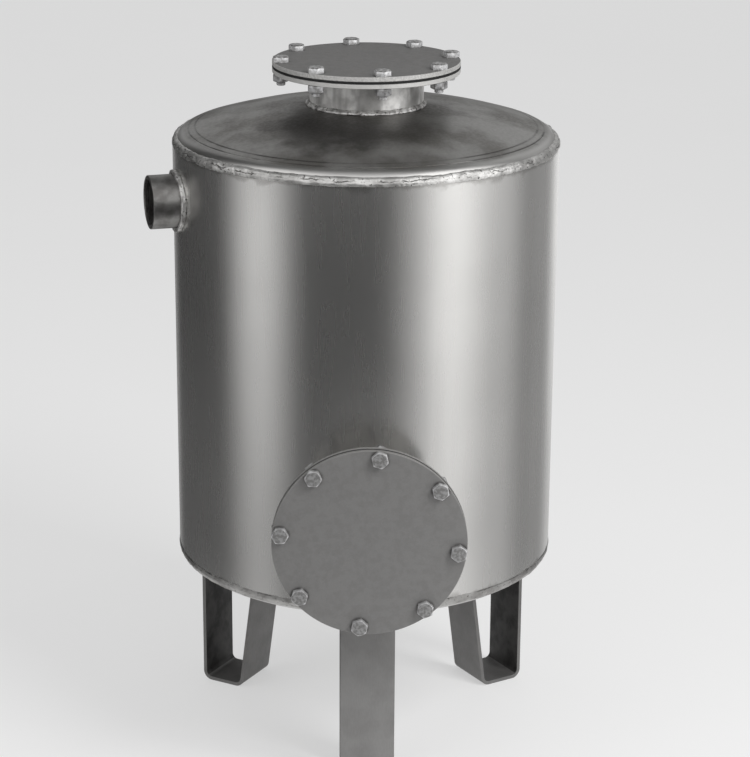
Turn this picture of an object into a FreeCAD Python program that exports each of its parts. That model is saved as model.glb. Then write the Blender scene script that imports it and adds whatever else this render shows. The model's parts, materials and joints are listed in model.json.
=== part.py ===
import FreeCAD, Part
import os
import re

import Sketcher
from FreeCAD import Vector

# Sand filter: an upright welded steel vessel on three bent legs. It has a bolted hand hole on top, where
# the sand is filled in, another one low in front, where it is raked out, a threaded inlet high on the left
# and a threaded outlet under the middle, which is fed by a star of slotted tubes on the vessel's floor.
#
# Millimetres, +Z up, the front hand hole faces -Y. The origin is on the floor, under the middle of the
# vessel's overall box, so the tank's own axis stands a little to the right of it and behind it.

# Driving dimensions: word, number, what it is.
SIZES = [
    # Tank
    ("tank_diameter", 500.0, "outside of the rolled shell"),
    ("shell_length", 550.0, "between the two seams"),
    ("shell_wall", 3.0, "sheet thickness of the shell"),
    ("head_wall", 3.0, "sheet thickness of the dished heads"),
    ("crown_radius", 770.0, "outside of a head's shallow middle"),
    ("knuckle_radius", 20.0, "outside of a head's tight rim"),
    ("head_sink", 3.5, "from the shell's edge in to where a head turns straight"),
    ("head_skirt", 10.0, "straight rim of a head inside the shell"),
    ("bead_reach", 6.5, "round seams' beads, from the shell's edge up the head"),
    ("bead_height", 1.6, "how far those beads bulge"),
    ("long_bead_width", 6.0, "weld bead along the shell"),
    ("long_bead_height", 1.0, "how proud that bead stands"),
    ("long_bead_azimuth", 70.0, "where the shell's sheet meets, in degrees"),
    ("weld_gap", 0.1, "clearance all round pipes in their holes, and heads in the shell"),
    ("fillet_weld", 6.0, "leg length of the welds round pipes"),
    # Hand holes
    ("neck_diameter", 148.0, "outside of a hand hole's pipe"),
    ("neck_wall", 3.0, "wall of that pipe"),
    ("neck_inset", 4.0, "how far the top pipe stands into the head"),
    ("top_seat_rise", 96.0, "top gasket's seat above the upper seam"),
    ("front_seat_reach", 51.0, "front gasket's seat in front of the shell"),
    ("front_hole_rise", 112.0, "front hand hole's middle above the lower seam"),
    ("plate_diameter", 242.0, "covers, gaskets and ring flanges"),
    ("ring_thickness", 6.0, "ring flanges"),
    ("gasket_thickness", 3.0, "rubber sheet between ring and cover"),
    ("cover_thickness", 6.0, "blind covers"),
    ("rim_chamfer", 0.6, "broken edges of covers and rings"),
    ("ring_weld", 4.0, "leg length of the weld behind a ring"),
    # Bolting
    ("bolt_circle", 222.0, "diameter through the bolts"),
    ("bolt_count", 8.0, "bolts in each cover"),
    ("bolt_hole_diameter", 13.0, "holes in cover, gasket and ring"),
    ("bolt_diameter", 12.0, "shank"),
    ("bolt_length", 30.0, "shank under the head"),
    ("hex_flats", 19.0, "across the flats of heads and nuts"),
    ("hex_face", 17.5, "round face that the corner bevel leaves"),
    ("bolt_head_height", 7.5, "hexagon head"),
    ("nut_height", 10.0, "hexagon nut"),
    ("nut_clearance", 0.05, "all round the shank in a nut"),
    ("bolt_tip_chamfer", 1.0, "bevel on a shank's end"),
    ("top_bolt_turn", 9.25, "first top bolt, degrees from the front"),
    ("front_bolt_turn", 6.3, "first front bolt, degrees from upright"),
    # Threaded sockets
    ("socket_diameter", 69.0, "outside of a two inch socket"),
    ("socket_bore", 56.66, "two inch pipe thread, at its crests"),
    ("socket_length", 47.0, "end to end"),
    ("socket_reach", 37.5, "how far it stands out of the tank"),
    ("socket_chamfer", 2.0, "bevel of the thread's mouth"),
    ("inlet_azimuth", 195.0, "degrees from +X"),
    ("inlet_drop", 65.0, "inlet's middle below the upper seam"),
    # Inlet baffle
    ("baffle_wall", 2.0, "sheet of the bent baffle"),
    ("baffle_width", 110.0, "across its plate"),
    ("baffle_height", 90.0, "upright"),
    ("baffle_standoff", 38.0, "plate's back from the shell's inside"),
    # Underdrain
    ("riser_diameter", 60.3, "pipe from the outlet up to the hub"),
    ("riser_wall", 1.8, "its wall"),
    ("riser_length", 24.0, "from the socket up to the hub"),
    ("hub_diameter", 100.0, "block that holds the laterals"),
    ("hub_height", 48.0, "of that block"),
    ("hub_cavity_diameter", 64.0, "water way inside it"),
    ("hub_roof", 10.0, "above the water way"),
    ("hub_floor", 8.0, "below the water way"),
    ("hub_chamfer", 4.0, "upper edge of the block"),
    ("lateral_diameter", 26.0, "slotted tubes"),
    ("lateral_wall", 2.0, "their wall"),
    ("lateral_gap", 30.0, "end cap to the shell's inside"),
    ("lateral_grip", 12.0, "length of tube inside the hub"),
    ("lateral_clearance", 0.1, "all round a tube in the hub"),
    ("lateral_count", 8.0, "tubes in the star"),
    ("slot_width", 1.0, "saw cut in a tube"),
    ("slot_pitch", 12.0, "from one cut to the next"),
    ("slot_start", 26.0, "first cut from the hub"),
    ("slot_top", 3.0, "cut's end below the tube's axis"),
    ("cap_rim", 3.0, "end cap's rim outside the tube"),
    ("cap_plug", 8.0, "end cap's plug inside the tube"),
    # Legs
    ("leg_height", 253.0, "floor to the lower seam"),
    ("bar_width", 70.0, "flat bar"),
    ("bar_thickness", 5.0, "flat bar"),
    ("bend_radius", 8.0, "inside of the two bends"),
    ("leg_inset", 10.0, "shell's outside to the outer limb's outer face"),
    ("foot_length", 64.0, "over both limbs, at the floor"),
    ("inner_limb_lean", 8.0, "degrees from upright"),
    ("leg_weld", 4.0, "bead round a limb's end"),
]

# Sizes that follow from those: word, formula.
DERIVED = [
    ("tank_radius", "tank_diameter / 2"),
    ("lower_seam", "leg_height"),
    ("upper_seam", "lower_seam + shell_length"),
    # A head stands inside the shell's end. Its crown is tangent to its knuckle, and that to its skirt.
    ("head_radius", "tank_radius - shell_wall - weld_gap"),
    ("knuckle_centre", "head_radius - knuckle_radius"),
    ("crown_centre", "sqrt((crown_radius - knuckle_radius)^2 - knuckle_centre^2)"),
    ("head_depth", "crown_radius - crown_centre"),
    ("lower_rim", "lower_seam + head_sink"),
    ("upper_rim", "upper_seam - head_sink"),
    # A seam's bead starts on the shell's edge and ends at its foot on the knuckle.
    ("bead_seat", "knuckle_centre + sqrt(knuckle_radius^2 - head_sink^2)"),
    ("bead_foot", "knuckle_centre + sqrt(knuckle_radius^2 - (head_sink + bead_reach)^2)"),
    ("bead_chord", "sqrt((tank_radius - bead_foot)^2 + bead_reach^2)"),
    ("neck_radius", "neck_diameter / 2"),
    ("top_seat", "upper_seam + top_seat_rise"),
    ("front_seat", "tank_radius + front_seat_reach"),
    ("front_hole_height", "lower_seam + front_hole_rise"),
    ("plate_radius", "plate_diameter / 2"),
    ("bolt_circle_radius", "bolt_circle / 2"),
    ("hex_corner", "hex_flats / sqrt(3)"),
    ("socket_radius", "socket_diameter / 2"),
    ("inlet_end", "tank_radius + socket_reach"),
    ("inlet_height", "upper_seam - inlet_drop"),
    ("bore_radius", "socket_bore / 2"),
    ("outlet_mouth", "lower_rim - head_depth - socket_reach"),
    ("socket_top", "outlet_mouth + socket_length"),
    ("hub_bottom", "socket_top + riser_length"),
    ("lateral_height", "hub_bottom + (hub_height + hub_floor - hub_roof) / 2"),
    ("lateral_start", "hub_diameter / 2 - lateral_grip"),
    ("lateral_radius", "lateral_diameter / 2"),
    ("lateral_reach", "tank_radius - shell_wall - lateral_gap - cap_rim"),
    ("lateral_length", "lateral_reach - lateral_start"),
    ("slot_run", "lateral_length - slot_start - cap_plug - slot_pitch / 2"),
    ("slot_count", "floor(slot_run / slot_pitch) + 1"),
    ("leg_outer_reach", "tank_radius - leg_inset"),
    # The overall box is set by the inlet on the left and by the front bolt heads.
    ("left_reach", "-inlet_end * cos(inlet_azimuth) - socket_radius * sin(inlet_azimuth)"),
    ("front_reach", "front_seat + gasket_thickness + cover_thickness + bolt_head_height"),
    ("axis_x", "(left_reach - tank_radius) / 2"),
    ("axis_y", "(front_reach - tank_radius) / 2"),
]

# How a sketch counts the points of a line or arc, and its own two axes. Its origin is the first
# point of the axis across.
START, END, CENTRE = range(1, 4)
ACROSS_AXIS, UPRIGHT_AXIS = range(-1, -3, -1)

# How a point counts its coordinates.
X, Y, Z = range(3)

LEG_SIDES = ("front", "right", "left")
MATCH = 1e-4

WORD = re.compile(r"[a-z][a-z_]*\b(?!\()")

doc = FreeCAD.newDocument("sand_filter")
sheet = doc.addObject("Spreadsheet::Sheet", "Sizes")
parts = []


def fill_sheet():
    """Write every size into the sheet, each with its word beside it."""
    rows = [(word, str(number), note) for word, number, note in SIZES]
    rows += [(word, "=" + text, "worked out") for word, text in DERIVED]
    for row, (word, content, note) in enumerate(rows, start=1):
        sheet.set(f"A{row}", word)
        sheet.set(f"B{row}", content)
        sheet.set(f"C{row}", note)
        sheet.setAlias(f"B{row}", word)
    doc.recompute()


def formula(text):
    """The same formula with the sheet's name before each of its words."""
    return WORD.sub(lambda word: "Sizes." + word.group(), text)


def value(text):
    """What a formula comes to now."""
    return float(sheet.evalExpression(formula(text)))


def bind(item, **formulas):
    """Tie properties of an object to formulas on the sheet."""
    for name, text in formulas.items():
        item.setExpression(name, formula(text))


def placing(x="0", y="0", z="0", yaw="0", pitch="0", roll="0"):
    """An expression for a placement, turned by roll, then pitch, then yaw."""
    base = f"create(<<vector>>; {formula(x)}; {formula(y)}; {formula(z)})"
    turn = f"create(<<rotation>>; {formula(yaw)}; {formula(pitch)}; {formula(roll)})"
    return f"create(<<placement>>; {base}; {turn})"


def locate(item, **terms):
    """Put an object somewhere in the tank's own frame, whose Z axis is the tank's."""
    item.setExpression("Placement", placing(**terms))


def finish_part(item, label, **terms):
    """Name a finished sub-part and stand it on the tank's axis in the vessel's frame."""
    item.Label = label
    terms["x"] = "axis_x + " + terms.get("x", "0")
    terms["y"] = "axis_y + " + terms.get("y", "0")
    locate(item, **terms)
    parts.append(item)


def radial(azimuth, start, height, turn="0"):
    """Terms that point a Z axis away from the tank's axis and turn it about itself."""
    return {
        "x": f"({start}) * cos({azimuth})",
        "y": f"({start}) * sin({azimuth})",
        "z": height,
        "yaw": f"{azimuth} + 90",
        "pitch": f"-({turn})",
        "roll": "90",
    }


# Sketching


def new_body(name):
    """A body that may hold several separate solids, such as a set of bolts."""
    body = doc.addObject("PartDesign::Body", name)
    body.AllowCompound = True
    return body


def origin_item(body, role):
    """One of a body's own planes or axes."""
    return next(item for item in body.Origin.OriginFeatures if item.Role == role)


def new_sketch(body, name, role="XZ_Plane"):
    """A sketch on one of the body's own planes."""
    sketch = body.newObject("Sketcher::SketchObject", name)
    sketch.AttachmentSupport = [(origin_item(body, role), "")]
    sketch.MapMode = "FlatFace"
    return sketch


def fix_point(sketch, index, end, x, y):
    """Hold one point of a sketch at two formulas from the sketch's origin."""
    for kind, text, axis in (("DistanceX", x, UPRIGHT_AXIS), ("DistanceY", y, ACROSS_AXIS)):
        if text == "0":
            sketch.addConstraint(Sketcher.Constraint("PointOnObject", index, end, axis))
            continue
        rule = Sketcher.Constraint(kind, ACROSS_AXIS, START, index, end, value(text))
        number = sketch.addConstraint(rule)
        sketch.setExpression(f"Constraints[{number}]", formula(text))


def fix_radius(sketch, index, text):
    """Hold the radius of a circle or arc."""
    number = sketch.addConstraint(Sketcher.Constraint("Radius", index, value(text)))
    sketch.setExpression(f"Constraints[{number}]", formula(text))


def draw_circle(sketch, radius, x="0", y="0"):
    """A circle held by its centre and radius."""
    circle = Part.Circle(Vector(value(x), value(y), 0), Vector(0, 0, 1), value(radius))
    index = sketch.addGeometry(circle, False)
    fix_point(sketch, index, CENTRE, x, y)
    fix_radius(sketch, index, radius)


def arc_between(start, finish, radius, sense):
    """The short arc between two points, anticlockwise for sense 1 and clockwise for -1."""
    chord = finish - start
    across = Vector(-chord.y, chord.x, 0).normalize()
    rise = (radius**2 - (chord.Length / 2) ** 2) ** 0.5
    centre = (start + finish) / 2 + across * rise * sense
    first, last = (start, finish) if sense > 0 else (finish, start)
    circle = Part.Circle(centre, Vector(0, 0, 1), radius)
    return Part.ArcOfCircle(circle, circle.parameter(first), circle.parameter(last))


def draw_outline(sketch, corners, arcs=None):
    """A closed outline: corners as pairs of formulas, arcs as side number to radius and sense."""
    arcs = arcs or {}
    places = [Vector(value(x), value(y), 0) for x, y in corners]
    sides = []
    for number, start in enumerate(places):
        finish = places[(number + 1) % len(places)]
        begin, end = START, END
        shape = Part.LineSegment(start, finish)
        if number in arcs:
            radius, sense = arcs[number]
            shape = arc_between(start, finish, value(radius), sense)
            begin, end = (START, END) if sense > 0 else (END, START)
        sides.append((sketch.addGeometry(shape, False), begin, end))
    for number, (index, begin, _) in enumerate(sides):
        before, _, before_end = sides[number - 1]
        sketch.addConstraint(Sketcher.Constraint("Coincident", before, before_end, index, begin))
        fix_point(sketch, index, begin, *corners[number])
        if number in arcs:
            fix_radius(sketch, index, arcs[number][0])


def draw_hexagon(sketch, x):
    """A hexagon across the flats of the bolts, centred at x."""
    corners = []
    for corner in range(6):
        angle = 60 * corner
        corners.append((f"{x} + hex_corner * cos({angle})", f"hex_corner * sin({angle})"))
    corners[0] = (corners[0][0], "0")
    corners[3] = (corners[3][0], "0")
    draw_outline(sketch, corners)


def draw_upright_axis(sketch, x):
    """A construction line through x, to turn a feature about."""
    length = 10.0
    line = Part.LineSegment(Vector(value(x), 0, 0), Vector(value(x), length, 0))
    index = sketch.addGeometry(line, True)
    fix_point(sketch, index, START, x, "0")
    sketch.addConstraint(Sketcher.Constraint("Vertical", index))
    sketch.addConstraint(Sketcher.Constraint("DistanceY", index, START, index, END, length))


# Features


def pad(body, sketch, length, symmetric=False, backwards=False):
    """Raise a sketch into a solid."""
    feature = body.newObject("PartDesign::Pad", sketch.Name + "_pad")
    feature.Profile = (sketch, [""])
    feature.SideType = "Symmetric" if symmetric else "One side"
    feature.Reversed = backwards
    bind(feature, Length=length)
    return feature


def pocket(body, sketch, length, symmetric=False):
    """Cut a sketch into the solid on its plane's front side, or both ways."""
    feature = body.newObject("PartDesign::Pocket", sketch.Name + "_pocket")
    feature.Profile = (sketch, [""])
    feature.SideType = "Symmetric" if symmetric else "One side"
    feature.Reversed = not symmetric
    bind(feature, Length=length)
    return feature


def turn_about(body, sketch, axis="V_Axis", kind="PartDesign::Revolution"):
    """Turn a sketch all the way round one of its axes, to add or to cut."""
    feature = body.newObject(kind, sketch.Name + "_turned")
    feature.Profile = (sketch, [""])
    feature.ReferenceAxis = (sketch, [axis])
    feature.Angle = 360
    return feature


def repeat_round(body, originals, count):
    """Repeat features evenly round the body's Z axis."""
    pattern = body.newObject("PartDesign::PolarPattern", body.Name + "_round")
    pattern.Originals = originals
    pattern.Axis = (origin_item(body, "Z_Axis"), [""])
    pattern.Angle = 360
    bind(pattern, Occurrences=count)
    body.Tip = pattern


def repeat_along(body, original, length, count):
    """Repeat a feature evenly along the body's Z axis."""
    pattern = body.newObject("PartDesign::LinearPattern", body.Name + "_row")
    pattern.Originals = [original]
    pattern.Direction = (origin_item(body, "Z_Axis"), [""])
    bind(pattern, Length=length, Occurrences=count)
    body.Tip = pattern


def round_edges(body, name, radius, spots, flat_axis):
    """Round the edges that run along flat_axis through the given spots of the outline."""
    doc.recompute()
    solid = body.Tip
    keep = [axis for axis in (X, Y, Z) if axis != flat_axis]
    wanted = [tuple(value(text) for text in spot) for spot in spots]
    names = []
    for number, edge in enumerate(solid.Shape.Edges, start=1):
        ends = [[vertex.Point[axis] for axis in keep] for vertex in edge.Vertexes]
        for spot in wanted:
            if all(abs(end[0] - spot[0]) + abs(end[1] - spot[1]) < MATCH for end in ends):
                names.append(f"Edge{number}")
    feature = body.newObject("PartDesign::Fillet", name)
    feature.Base = (solid, names)
    bind(feature, Radius=radius)


def bevel_rim(body, radius, size):
    """Bevel every round edge of one radius."""
    doc.recompute()
    solid = body.Tip
    names = []
    for number, edge in enumerate(solid.Shape.Edges, start=1):
        if isinstance(edge.Curve, Part.Circle) and abs(edge.Curve.Radius - value(radius)) < MATCH:
            names.append(f"Edge{number}")
    feature = body.newObject("PartDesign::Chamfer", body.Name + "_rim")
    feature.Base = (solid, names)
    bind(feature, Size=size)


def turned_body(name, corners, arcs=None):
    """A body turned about its Z axis from one closed outline."""
    body = new_body(name)
    sketch = new_sketch(body, name + "_outline")
    draw_outline(sketch, corners, arcs)
    turn_about(body, sketch)
    return body


def tube(name, inner, outer, bottom, top):
    """A plain pipe along its body's Z axis."""
    return turned_body(name, [(inner, bottom), (outer, bottom), (outer, top), (inner, top)])


def cylinder(name, radius, height, **terms):
    """A round bar in the tank's frame, used whole or as a cutter."""
    item = doc.addObject("Part::Cylinder", name)
    bind(item, Radius=radius, Height=height)
    locate(item, **terms)
    return item


def boolean(kind, name, base, tool):
    """Part::Cut or Part::Common of two objects."""
    item = doc.addObject(kind, name)
    item.Base = base
    item.Tool = tool
    return item


def cut(name, base, *tools):
    """Cut several things away, one after the other."""
    for number, tool in enumerate(tools, start=1):
        base = boolean("Part::Cut", f"{name}_cut_{number}", base, tool)
    return base


# Heads and shell


def dish_curve(offset):
    """A head's outside moved outwards: where it leaves the crown, and where it turns straight."""
    lean = "knuckle_centre / (crown_radius - knuckle_radius)"
    stand = "crown_centre / (crown_radius - knuckle_radius)"
    meet = (
        f"knuckle_centre + (knuckle_radius + {offset}) * {lean}",
        f"(knuckle_radius + {offset}) * {stand}",
    )
    return meet, (f"head_radius + {offset}", "0")


def crown_height(offset, radius):
    """Height of a head's crown above where it turns straight, at a distance from the axis."""
    return f"sqrt((crown_radius + {offset})^2 - ({radius})^2) - crown_centre"


def dish(name, inside, outside, hole, skirt=None):
    """A dished layer between two offsets from a head's outside, with a round hole in its middle."""
    outer_meet, outer_rim = dish_curve(outside)
    inner_meet, inner_rim = dish_curve(inside)
    rims = [outer_rim, inner_rim]
    if skirt:
        rims[1:1] = [(outer_rim[0], f"-{skirt}"), (inner_rim[0], f"-{skirt}")]
    corners = [
        (hole, crown_height(outside, hole)),
        outer_meet,
        *rims,
        inner_meet,
        (hole, crown_height(inside, hole)),
    ]
    back = len(rims) + 1
    arcs = {
        0: (f"crown_radius + {outside}", -1),
        1: (f"knuckle_radius + {outside}", -1),
        back: (f"knuckle_radius + {inside}", 1),
        back + 1: (f"crown_radius + {inside}", 1),
    }
    return turned_body(name, corners, arcs)


def filled_dish(name):
    """The whole space under the bottom head's outside, as a cutter."""
    meet, rim = dish_curve("0")
    arcs = {0: ("crown_radius", -1), 1: ("knuckle_radius", -1)}
    body = turned_body(name, [("0", "head_depth"), meet, rim, ("0", "0")], arcs)
    locate(body, z="lower_rim", roll="180")
    return body


def make_heads():
    """Two equal dished heads with different holes, one of them upside down."""
    top = dish("top_head_body", "-head_wall", "0", "neck_radius + weld_gap", "head_skirt")
    finish_part(top, "top_head", z="upper_rim")
    bottom = dish("bottom_head_body", "-head_wall", "0", "socket_radius + weld_gap", "head_skirt")
    finish_part(bottom, "bottom_head", z="lower_rim", roll="180")


def make_shell():
    """The rolled shell, with a hole for the inlet and one for the front hand hole."""
    middle = "tank_radius / 2"
    outside = cylinder("shell_outside", "tank_radius", "shell_length", z="lower_seam")
    inside = cylinder("shell_inside", "tank_radius - shell_wall", "shell_length", z="lower_seam")
    hand_way = radial("-90", middle, "front_hole_height")
    hand_hole = cylinder("hand_hole_cutter", "neck_radius + weld_gap", "tank_radius", **hand_way)
    inlet_way = radial("inlet_azimuth", middle, "inlet_height")
    inlet_hole = cylinder("inlet_cutter", "socket_radius + weld_gap", "tank_radius", **inlet_way)
    finish_part(cut("shell", outside, inside, hand_hole, inlet_hole), "shell")


def make_seam_beads():
    """Weld beads between the shell's two edges and the heads, and along the shell."""
    crest = "(bead_chord^2 / 4 + bead_height^2) / (2 * bead_height)"
    corners = [("tank_radius", "0"), ("bead_foot", "bead_reach"), ("bead_seat", "0")]
    arcs = {0: (crest, 1), 1: ("knuckle_radius", -1)}
    top = turned_body("top_seam_weld_body", corners, arcs)
    finish_part(top, "top_seam_weld", z="upper_seam")
    bottom = turned_body("bottom_seam_weld_body", corners, arcs)
    finish_part(bottom, "bottom_seam_weld", z="lower_seam", roll="180")
    body = new_body("shell_seam_weld_body")
    sketch = new_sketch(body, "long_bead_outline", "XY_Plane")
    foot = "sqrt(tank_radius^2 - long_bead_width^2 / 4)"
    corners = [
        ("tank_radius + long_bead_height", "-long_bead_width / 4"),
        ("tank_radius + long_bead_height", "long_bead_width / 4"),
        (foot, "long_bead_width / 2"),
        (foot, "-long_bead_width / 2"),
    ]
    draw_outline(sketch, corners, {2: ("tank_radius", -1)})
    pad(body, sketch, "shell_length")
    finish_part(body, "shell_seam_weld", z="lower_seam", yaw="long_bead_azimuth")


# Welds round pipes


def make_crown_weld(label, radius, **terms):
    """A fillet weld between a pipe on the tank's axis and the crown of a head."""
    foot = f"{radius} + fillet_weld"
    corners = [
        (radius, crown_height("0", radius)),
        (radius, crown_height("0", radius) + " + fillet_weld"),
        (foot, crown_height("0", foot)),
    ]
    finish_part(turned_body(label + "_body", corners, {2: ("crown_radius", 1)}), label, **terms)


def make_saddle_weld(label, radius, azimuth, height):
    """A weld between a pipe on the shell's side and the shell: a collar on its round surface."""
    collar = tube(label + "_collar", radius, f"{radius} + fillet_weld", "0", "tank_radius")
    locate(collar, **radial(azimuth, "tank_radius / 2", height))
    low, high = f"{height} - tank_radius / 2", f"{height} + tank_radius / 2"
    layer = tube(label + "_layer", "tank_radius", "tank_radius + fillet_weld", low, high)
    finish_part(boolean("Part::Common", label + "_saddle", collar, layer), label)


# Hand holes


def on_top(rise, turn="0"):
    """Terms that lay a sub-part on the top hand hole, rise above its gasket's seat."""
    return {"z": f"top_seat + {rise}", "yaw": f"{turn} - 90"}


def in_front(rise, turn="0"):
    """Terms that hold a sub-part before the front hand hole, rise in front of its seat."""
    return radial("-90", f"front_seat + {rise}", "front_hole_height", f"90 - {turn}")


def make_plate(label, thickness, bore, terms):
    """A round plate with a circle of bolt holes: a cover, a gasket or a ring."""
    body = new_body(label + "_body")
    outline = new_sketch(body, label + "_outline", "XY_Plane")
    draw_circle(outline, "plate_radius")
    if bore:
        draw_circle(outline, bore)
    pad(body, outline, thickness)
    hole = new_sketch(body, label + "_hole", "XY_Plane")
    draw_circle(hole, "bolt_hole_diameter / 2", "bolt_circle_radius")
    repeat_round(body, [pocket(body, hole, thickness)], "bolt_count")
    if not label.endswith("gasket"):
        bevel_rim(body, "plate_radius", "rim_chamfer")
    finish_part(body, label, **terms)


def bevel_sketch(body, name, faces):
    """Outlines that take the corners off hexagons: faces as height and direction inwards."""
    sketch = new_sketch(body, name)
    draw_upright_axis(sketch, "bolt_circle_radius")
    reach = "bolt_circle_radius + hex_flats"
    for height, inwards in faces:
        depth = f"{height} {inwards} (hex_flats - hex_face / 2) * tan(30)"
        inner = ("bolt_circle_radius + hex_face / 2", height)
        draw_outline(sketch, [inner, (reach, height), (reach, depth)])
    return sketch


def make_bolts(label, terms):
    """Hexagon bolts round a cover, their heads on its face and their shanks through it."""
    body = new_body(label + "_body")
    shank = new_sketch(body, label + "_shank")
    draw_upright_axis(shank, "bolt_circle_radius")
    side = "bolt_circle_radius + bolt_diameter / 2"
    corners = [
        ("bolt_circle_radius", "0"),
        (side, "0"),
        (side, "bolt_tip_chamfer - bolt_length"),
        (side + " - bolt_tip_chamfer", "-bolt_length"),
        ("bolt_circle_radius", "-bolt_length"),
    ]
    draw_outline(shank, corners)
    shanks = turn_about(body, shank, "Axis0")
    head = new_sketch(body, label + "_head", "XY_Plane")
    draw_hexagon(head, "bolt_circle_radius")
    heads = pad(body, head, "bolt_head_height")
    corners_off = bevel_sketch(body, label + "_bevel", [("bolt_head_height", "-")])
    bevels = turn_about(body, corners_off, "Axis0", "PartDesign::Groove")
    repeat_round(body, [shanks, heads, bevels], "bolt_count")
    finish_part(body, label, **terms)


def make_nuts(label, terms):
    """Hexagon nuts round a ring, pressed against its back."""
    body = new_body(label + "_body")
    sketch = new_sketch(body, label + "_hexagon", "XY_Plane")
    draw_hexagon(sketch, "bolt_circle_radius")
    draw_circle(sketch, "bolt_diameter / 2 + nut_clearance", "bolt_circle_radius")
    blanks = pad(body, sketch, "nut_height", backwards=True)
    faces = [("0", "-"), ("-nut_height", "+")]
    corners_off = bevel_sketch(body, label + "_bevel", faces)
    bevels = turn_about(body, corners_off, "Axis0", "PartDesign::Groove")
    repeat_round(body, [blanks, bevels], "bolt_count")
    finish_part(body, label, **terms)


def make_closure(side, spot, turn):
    """Everything that is bolted together on one hand hole, and the ring it is bolted to."""
    make_plate(f"{side}_ring", "ring_thickness", "neck_radius + weld_gap", spot("-ring_thickness", turn))
    make_plate(f"{side}_gasket", "gasket_thickness", "neck_radius - neck_wall", spot("0", turn))
    make_plate(f"{side}_cover", "cover_thickness", None, spot("gasket_thickness", turn))
    make_bolts(f"{side}_bolts", spot("gasket_thickness + cover_thickness", turn))
    make_nuts(f"{side}_nuts", spot("-ring_thickness", turn))
    inner, back = "neck_radius + weld_gap", "-ring_thickness"
    corners = [(inner, back), (f"{inner} + ring_weld", back), (inner, f"{back} - ring_weld")]
    finish_part(turned_body(f"{side}_ring_weld_body", corners), f"{side}_ring_weld", **spot("0"))


def make_necks():
    """The pipes of the two hand holes, and the welds at their feet."""
    inner = "neck_radius - neck_wall"
    foot = "upper_rim + " + crown_height("-head_wall", "neck_radius") + " - neck_inset"
    top = tube("top_neck_body", inner, "neck_radius", foot, "top_seat")
    finish_part(top, "top_neck")
    make_crown_weld("top_neck_weld", "neck_radius", z="upper_rim")
    front = tube("front_neck_pipe", inner, "neck_radius", "neck_radius - front_seat", "0")
    locate(front, **radial("-90", "front_seat", "front_hole_height"))
    low, high = "front_hole_height - tank_radius / 2", "tank_radius"
    inside = cylinder("front_neck_cutter", "tank_radius - shell_wall", high, z=low)
    finish_part(cut("front_neck", front, inside), "front_neck")
    make_saddle_weld("front_neck_weld", "neck_radius", "-90", "front_hole_height")


# Threaded sockets


def make_socket(label, **terms):
    """A round pipe socket with both ends of its thread bevelled, its mouth at the origin."""
    back = "-socket_length"
    mouth = "bore_radius + socket_chamfer"
    corners = [
        ("bore_radius", "-socket_chamfer"),
        (mouth, "0"),
        ("socket_radius", "0"),
        ("socket_radius", back),
        (mouth, back),
        ("bore_radius", back + " + socket_chamfer"),
    ]
    finish_part(turned_body(label + "_body", corners), label, **terms)


def make_sockets():
    """The inlet on the shell and the outlet under the bottom head."""
    make_socket("inlet_socket", **radial("inlet_azimuth", "inlet_end", "inlet_height"))
    make_saddle_weld("inlet_weld", "socket_radius", "inlet_azimuth", "inlet_height")
    make_socket("outlet_socket", z="outlet_mouth", roll="180")
    make_crown_weld("outlet_weld", "socket_radius", z="lower_rim", roll="180")


# Inside


def make_baffle():
    """A sheet bent to a channel, open above and below, that stands before the inlet."""
    body = new_body("inlet_baffle_body")
    sketch = new_sketch(body, "baffle_outline", "XY_Plane")
    back = "tank_radius - shell_wall - baffle_standoff"
    face = back + " - baffle_wall"
    side, inner_side = "baffle_width / 2", "(baffle_width / 2 - baffle_wall)"
    corners = [
        (face, "-" + side),
        ("tank_radius", "-" + side),
        ("tank_radius", "-" + inner_side),
        (back, "-" + inner_side),
        (back, inner_side),
        ("tank_radius", inner_side),
        ("tank_radius", side),
        (face, side),
    ]
    draw_outline(sketch, corners)
    pad(body, sketch, "baffle_height", symmetric=True)
    round_edges(body, "baffle_inner_bends", "baffle_wall", corners[3:5], Z)
    round_edges(body, "baffle_outer_bends", "2 * baffle_wall", [corners[0], corners[7]], Z)
    inside = cylinder("baffle_trim", "tank_radius - shell_wall", "baffle_height", z="-baffle_height / 2")
    trimmed = boolean("Part::Common", "inlet_baffle_trimmed", body, inside)
    finish_part(trimmed, "inlet_baffle", z="inlet_height", yaw="inlet_azimuth")


def make_riser():
    """The pipe that joins the outlet socket to the hub."""
    outer = "riser_diameter / 2"
    riser = tube("collector_riser_body", outer + " - riser_wall", outer, "socket_top", "hub_bottom")
    finish_part(riser, "collector_riser")


def make_hub():
    """The round block at the middle of the star, hollow, with a bore for each lateral."""
    edge, cavity = "hub_diameter / 2", "hub_cavity_diameter / 2"
    bore = "riser_diameter / 2 - riser_wall"
    roof = "hub_height - hub_roof"
    corners = [
        (bore, "0"),
        (edge, "0"),
        (edge, "hub_height - hub_chamfer"),
        (edge + " - hub_chamfer", "hub_height"),
        ("0", "hub_height"),
        ("0", roof),
        (cavity, roof),
        (cavity, "hub_floor"),
        (bore, "hub_floor"),
    ]
    body = turned_body("collector_hub_body", corners)
    hole = new_sketch(body, "lateral_bore", "YZ_Plane")
    draw_circle(hole, "lateral_radius + lateral_clearance", y="lateral_height - hub_bottom")
    repeat_round(body, [pocket(body, hole, "hub_diameter")], "lateral_count")
    finish_part(body, "collector_hub", z="hub_bottom")


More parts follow.
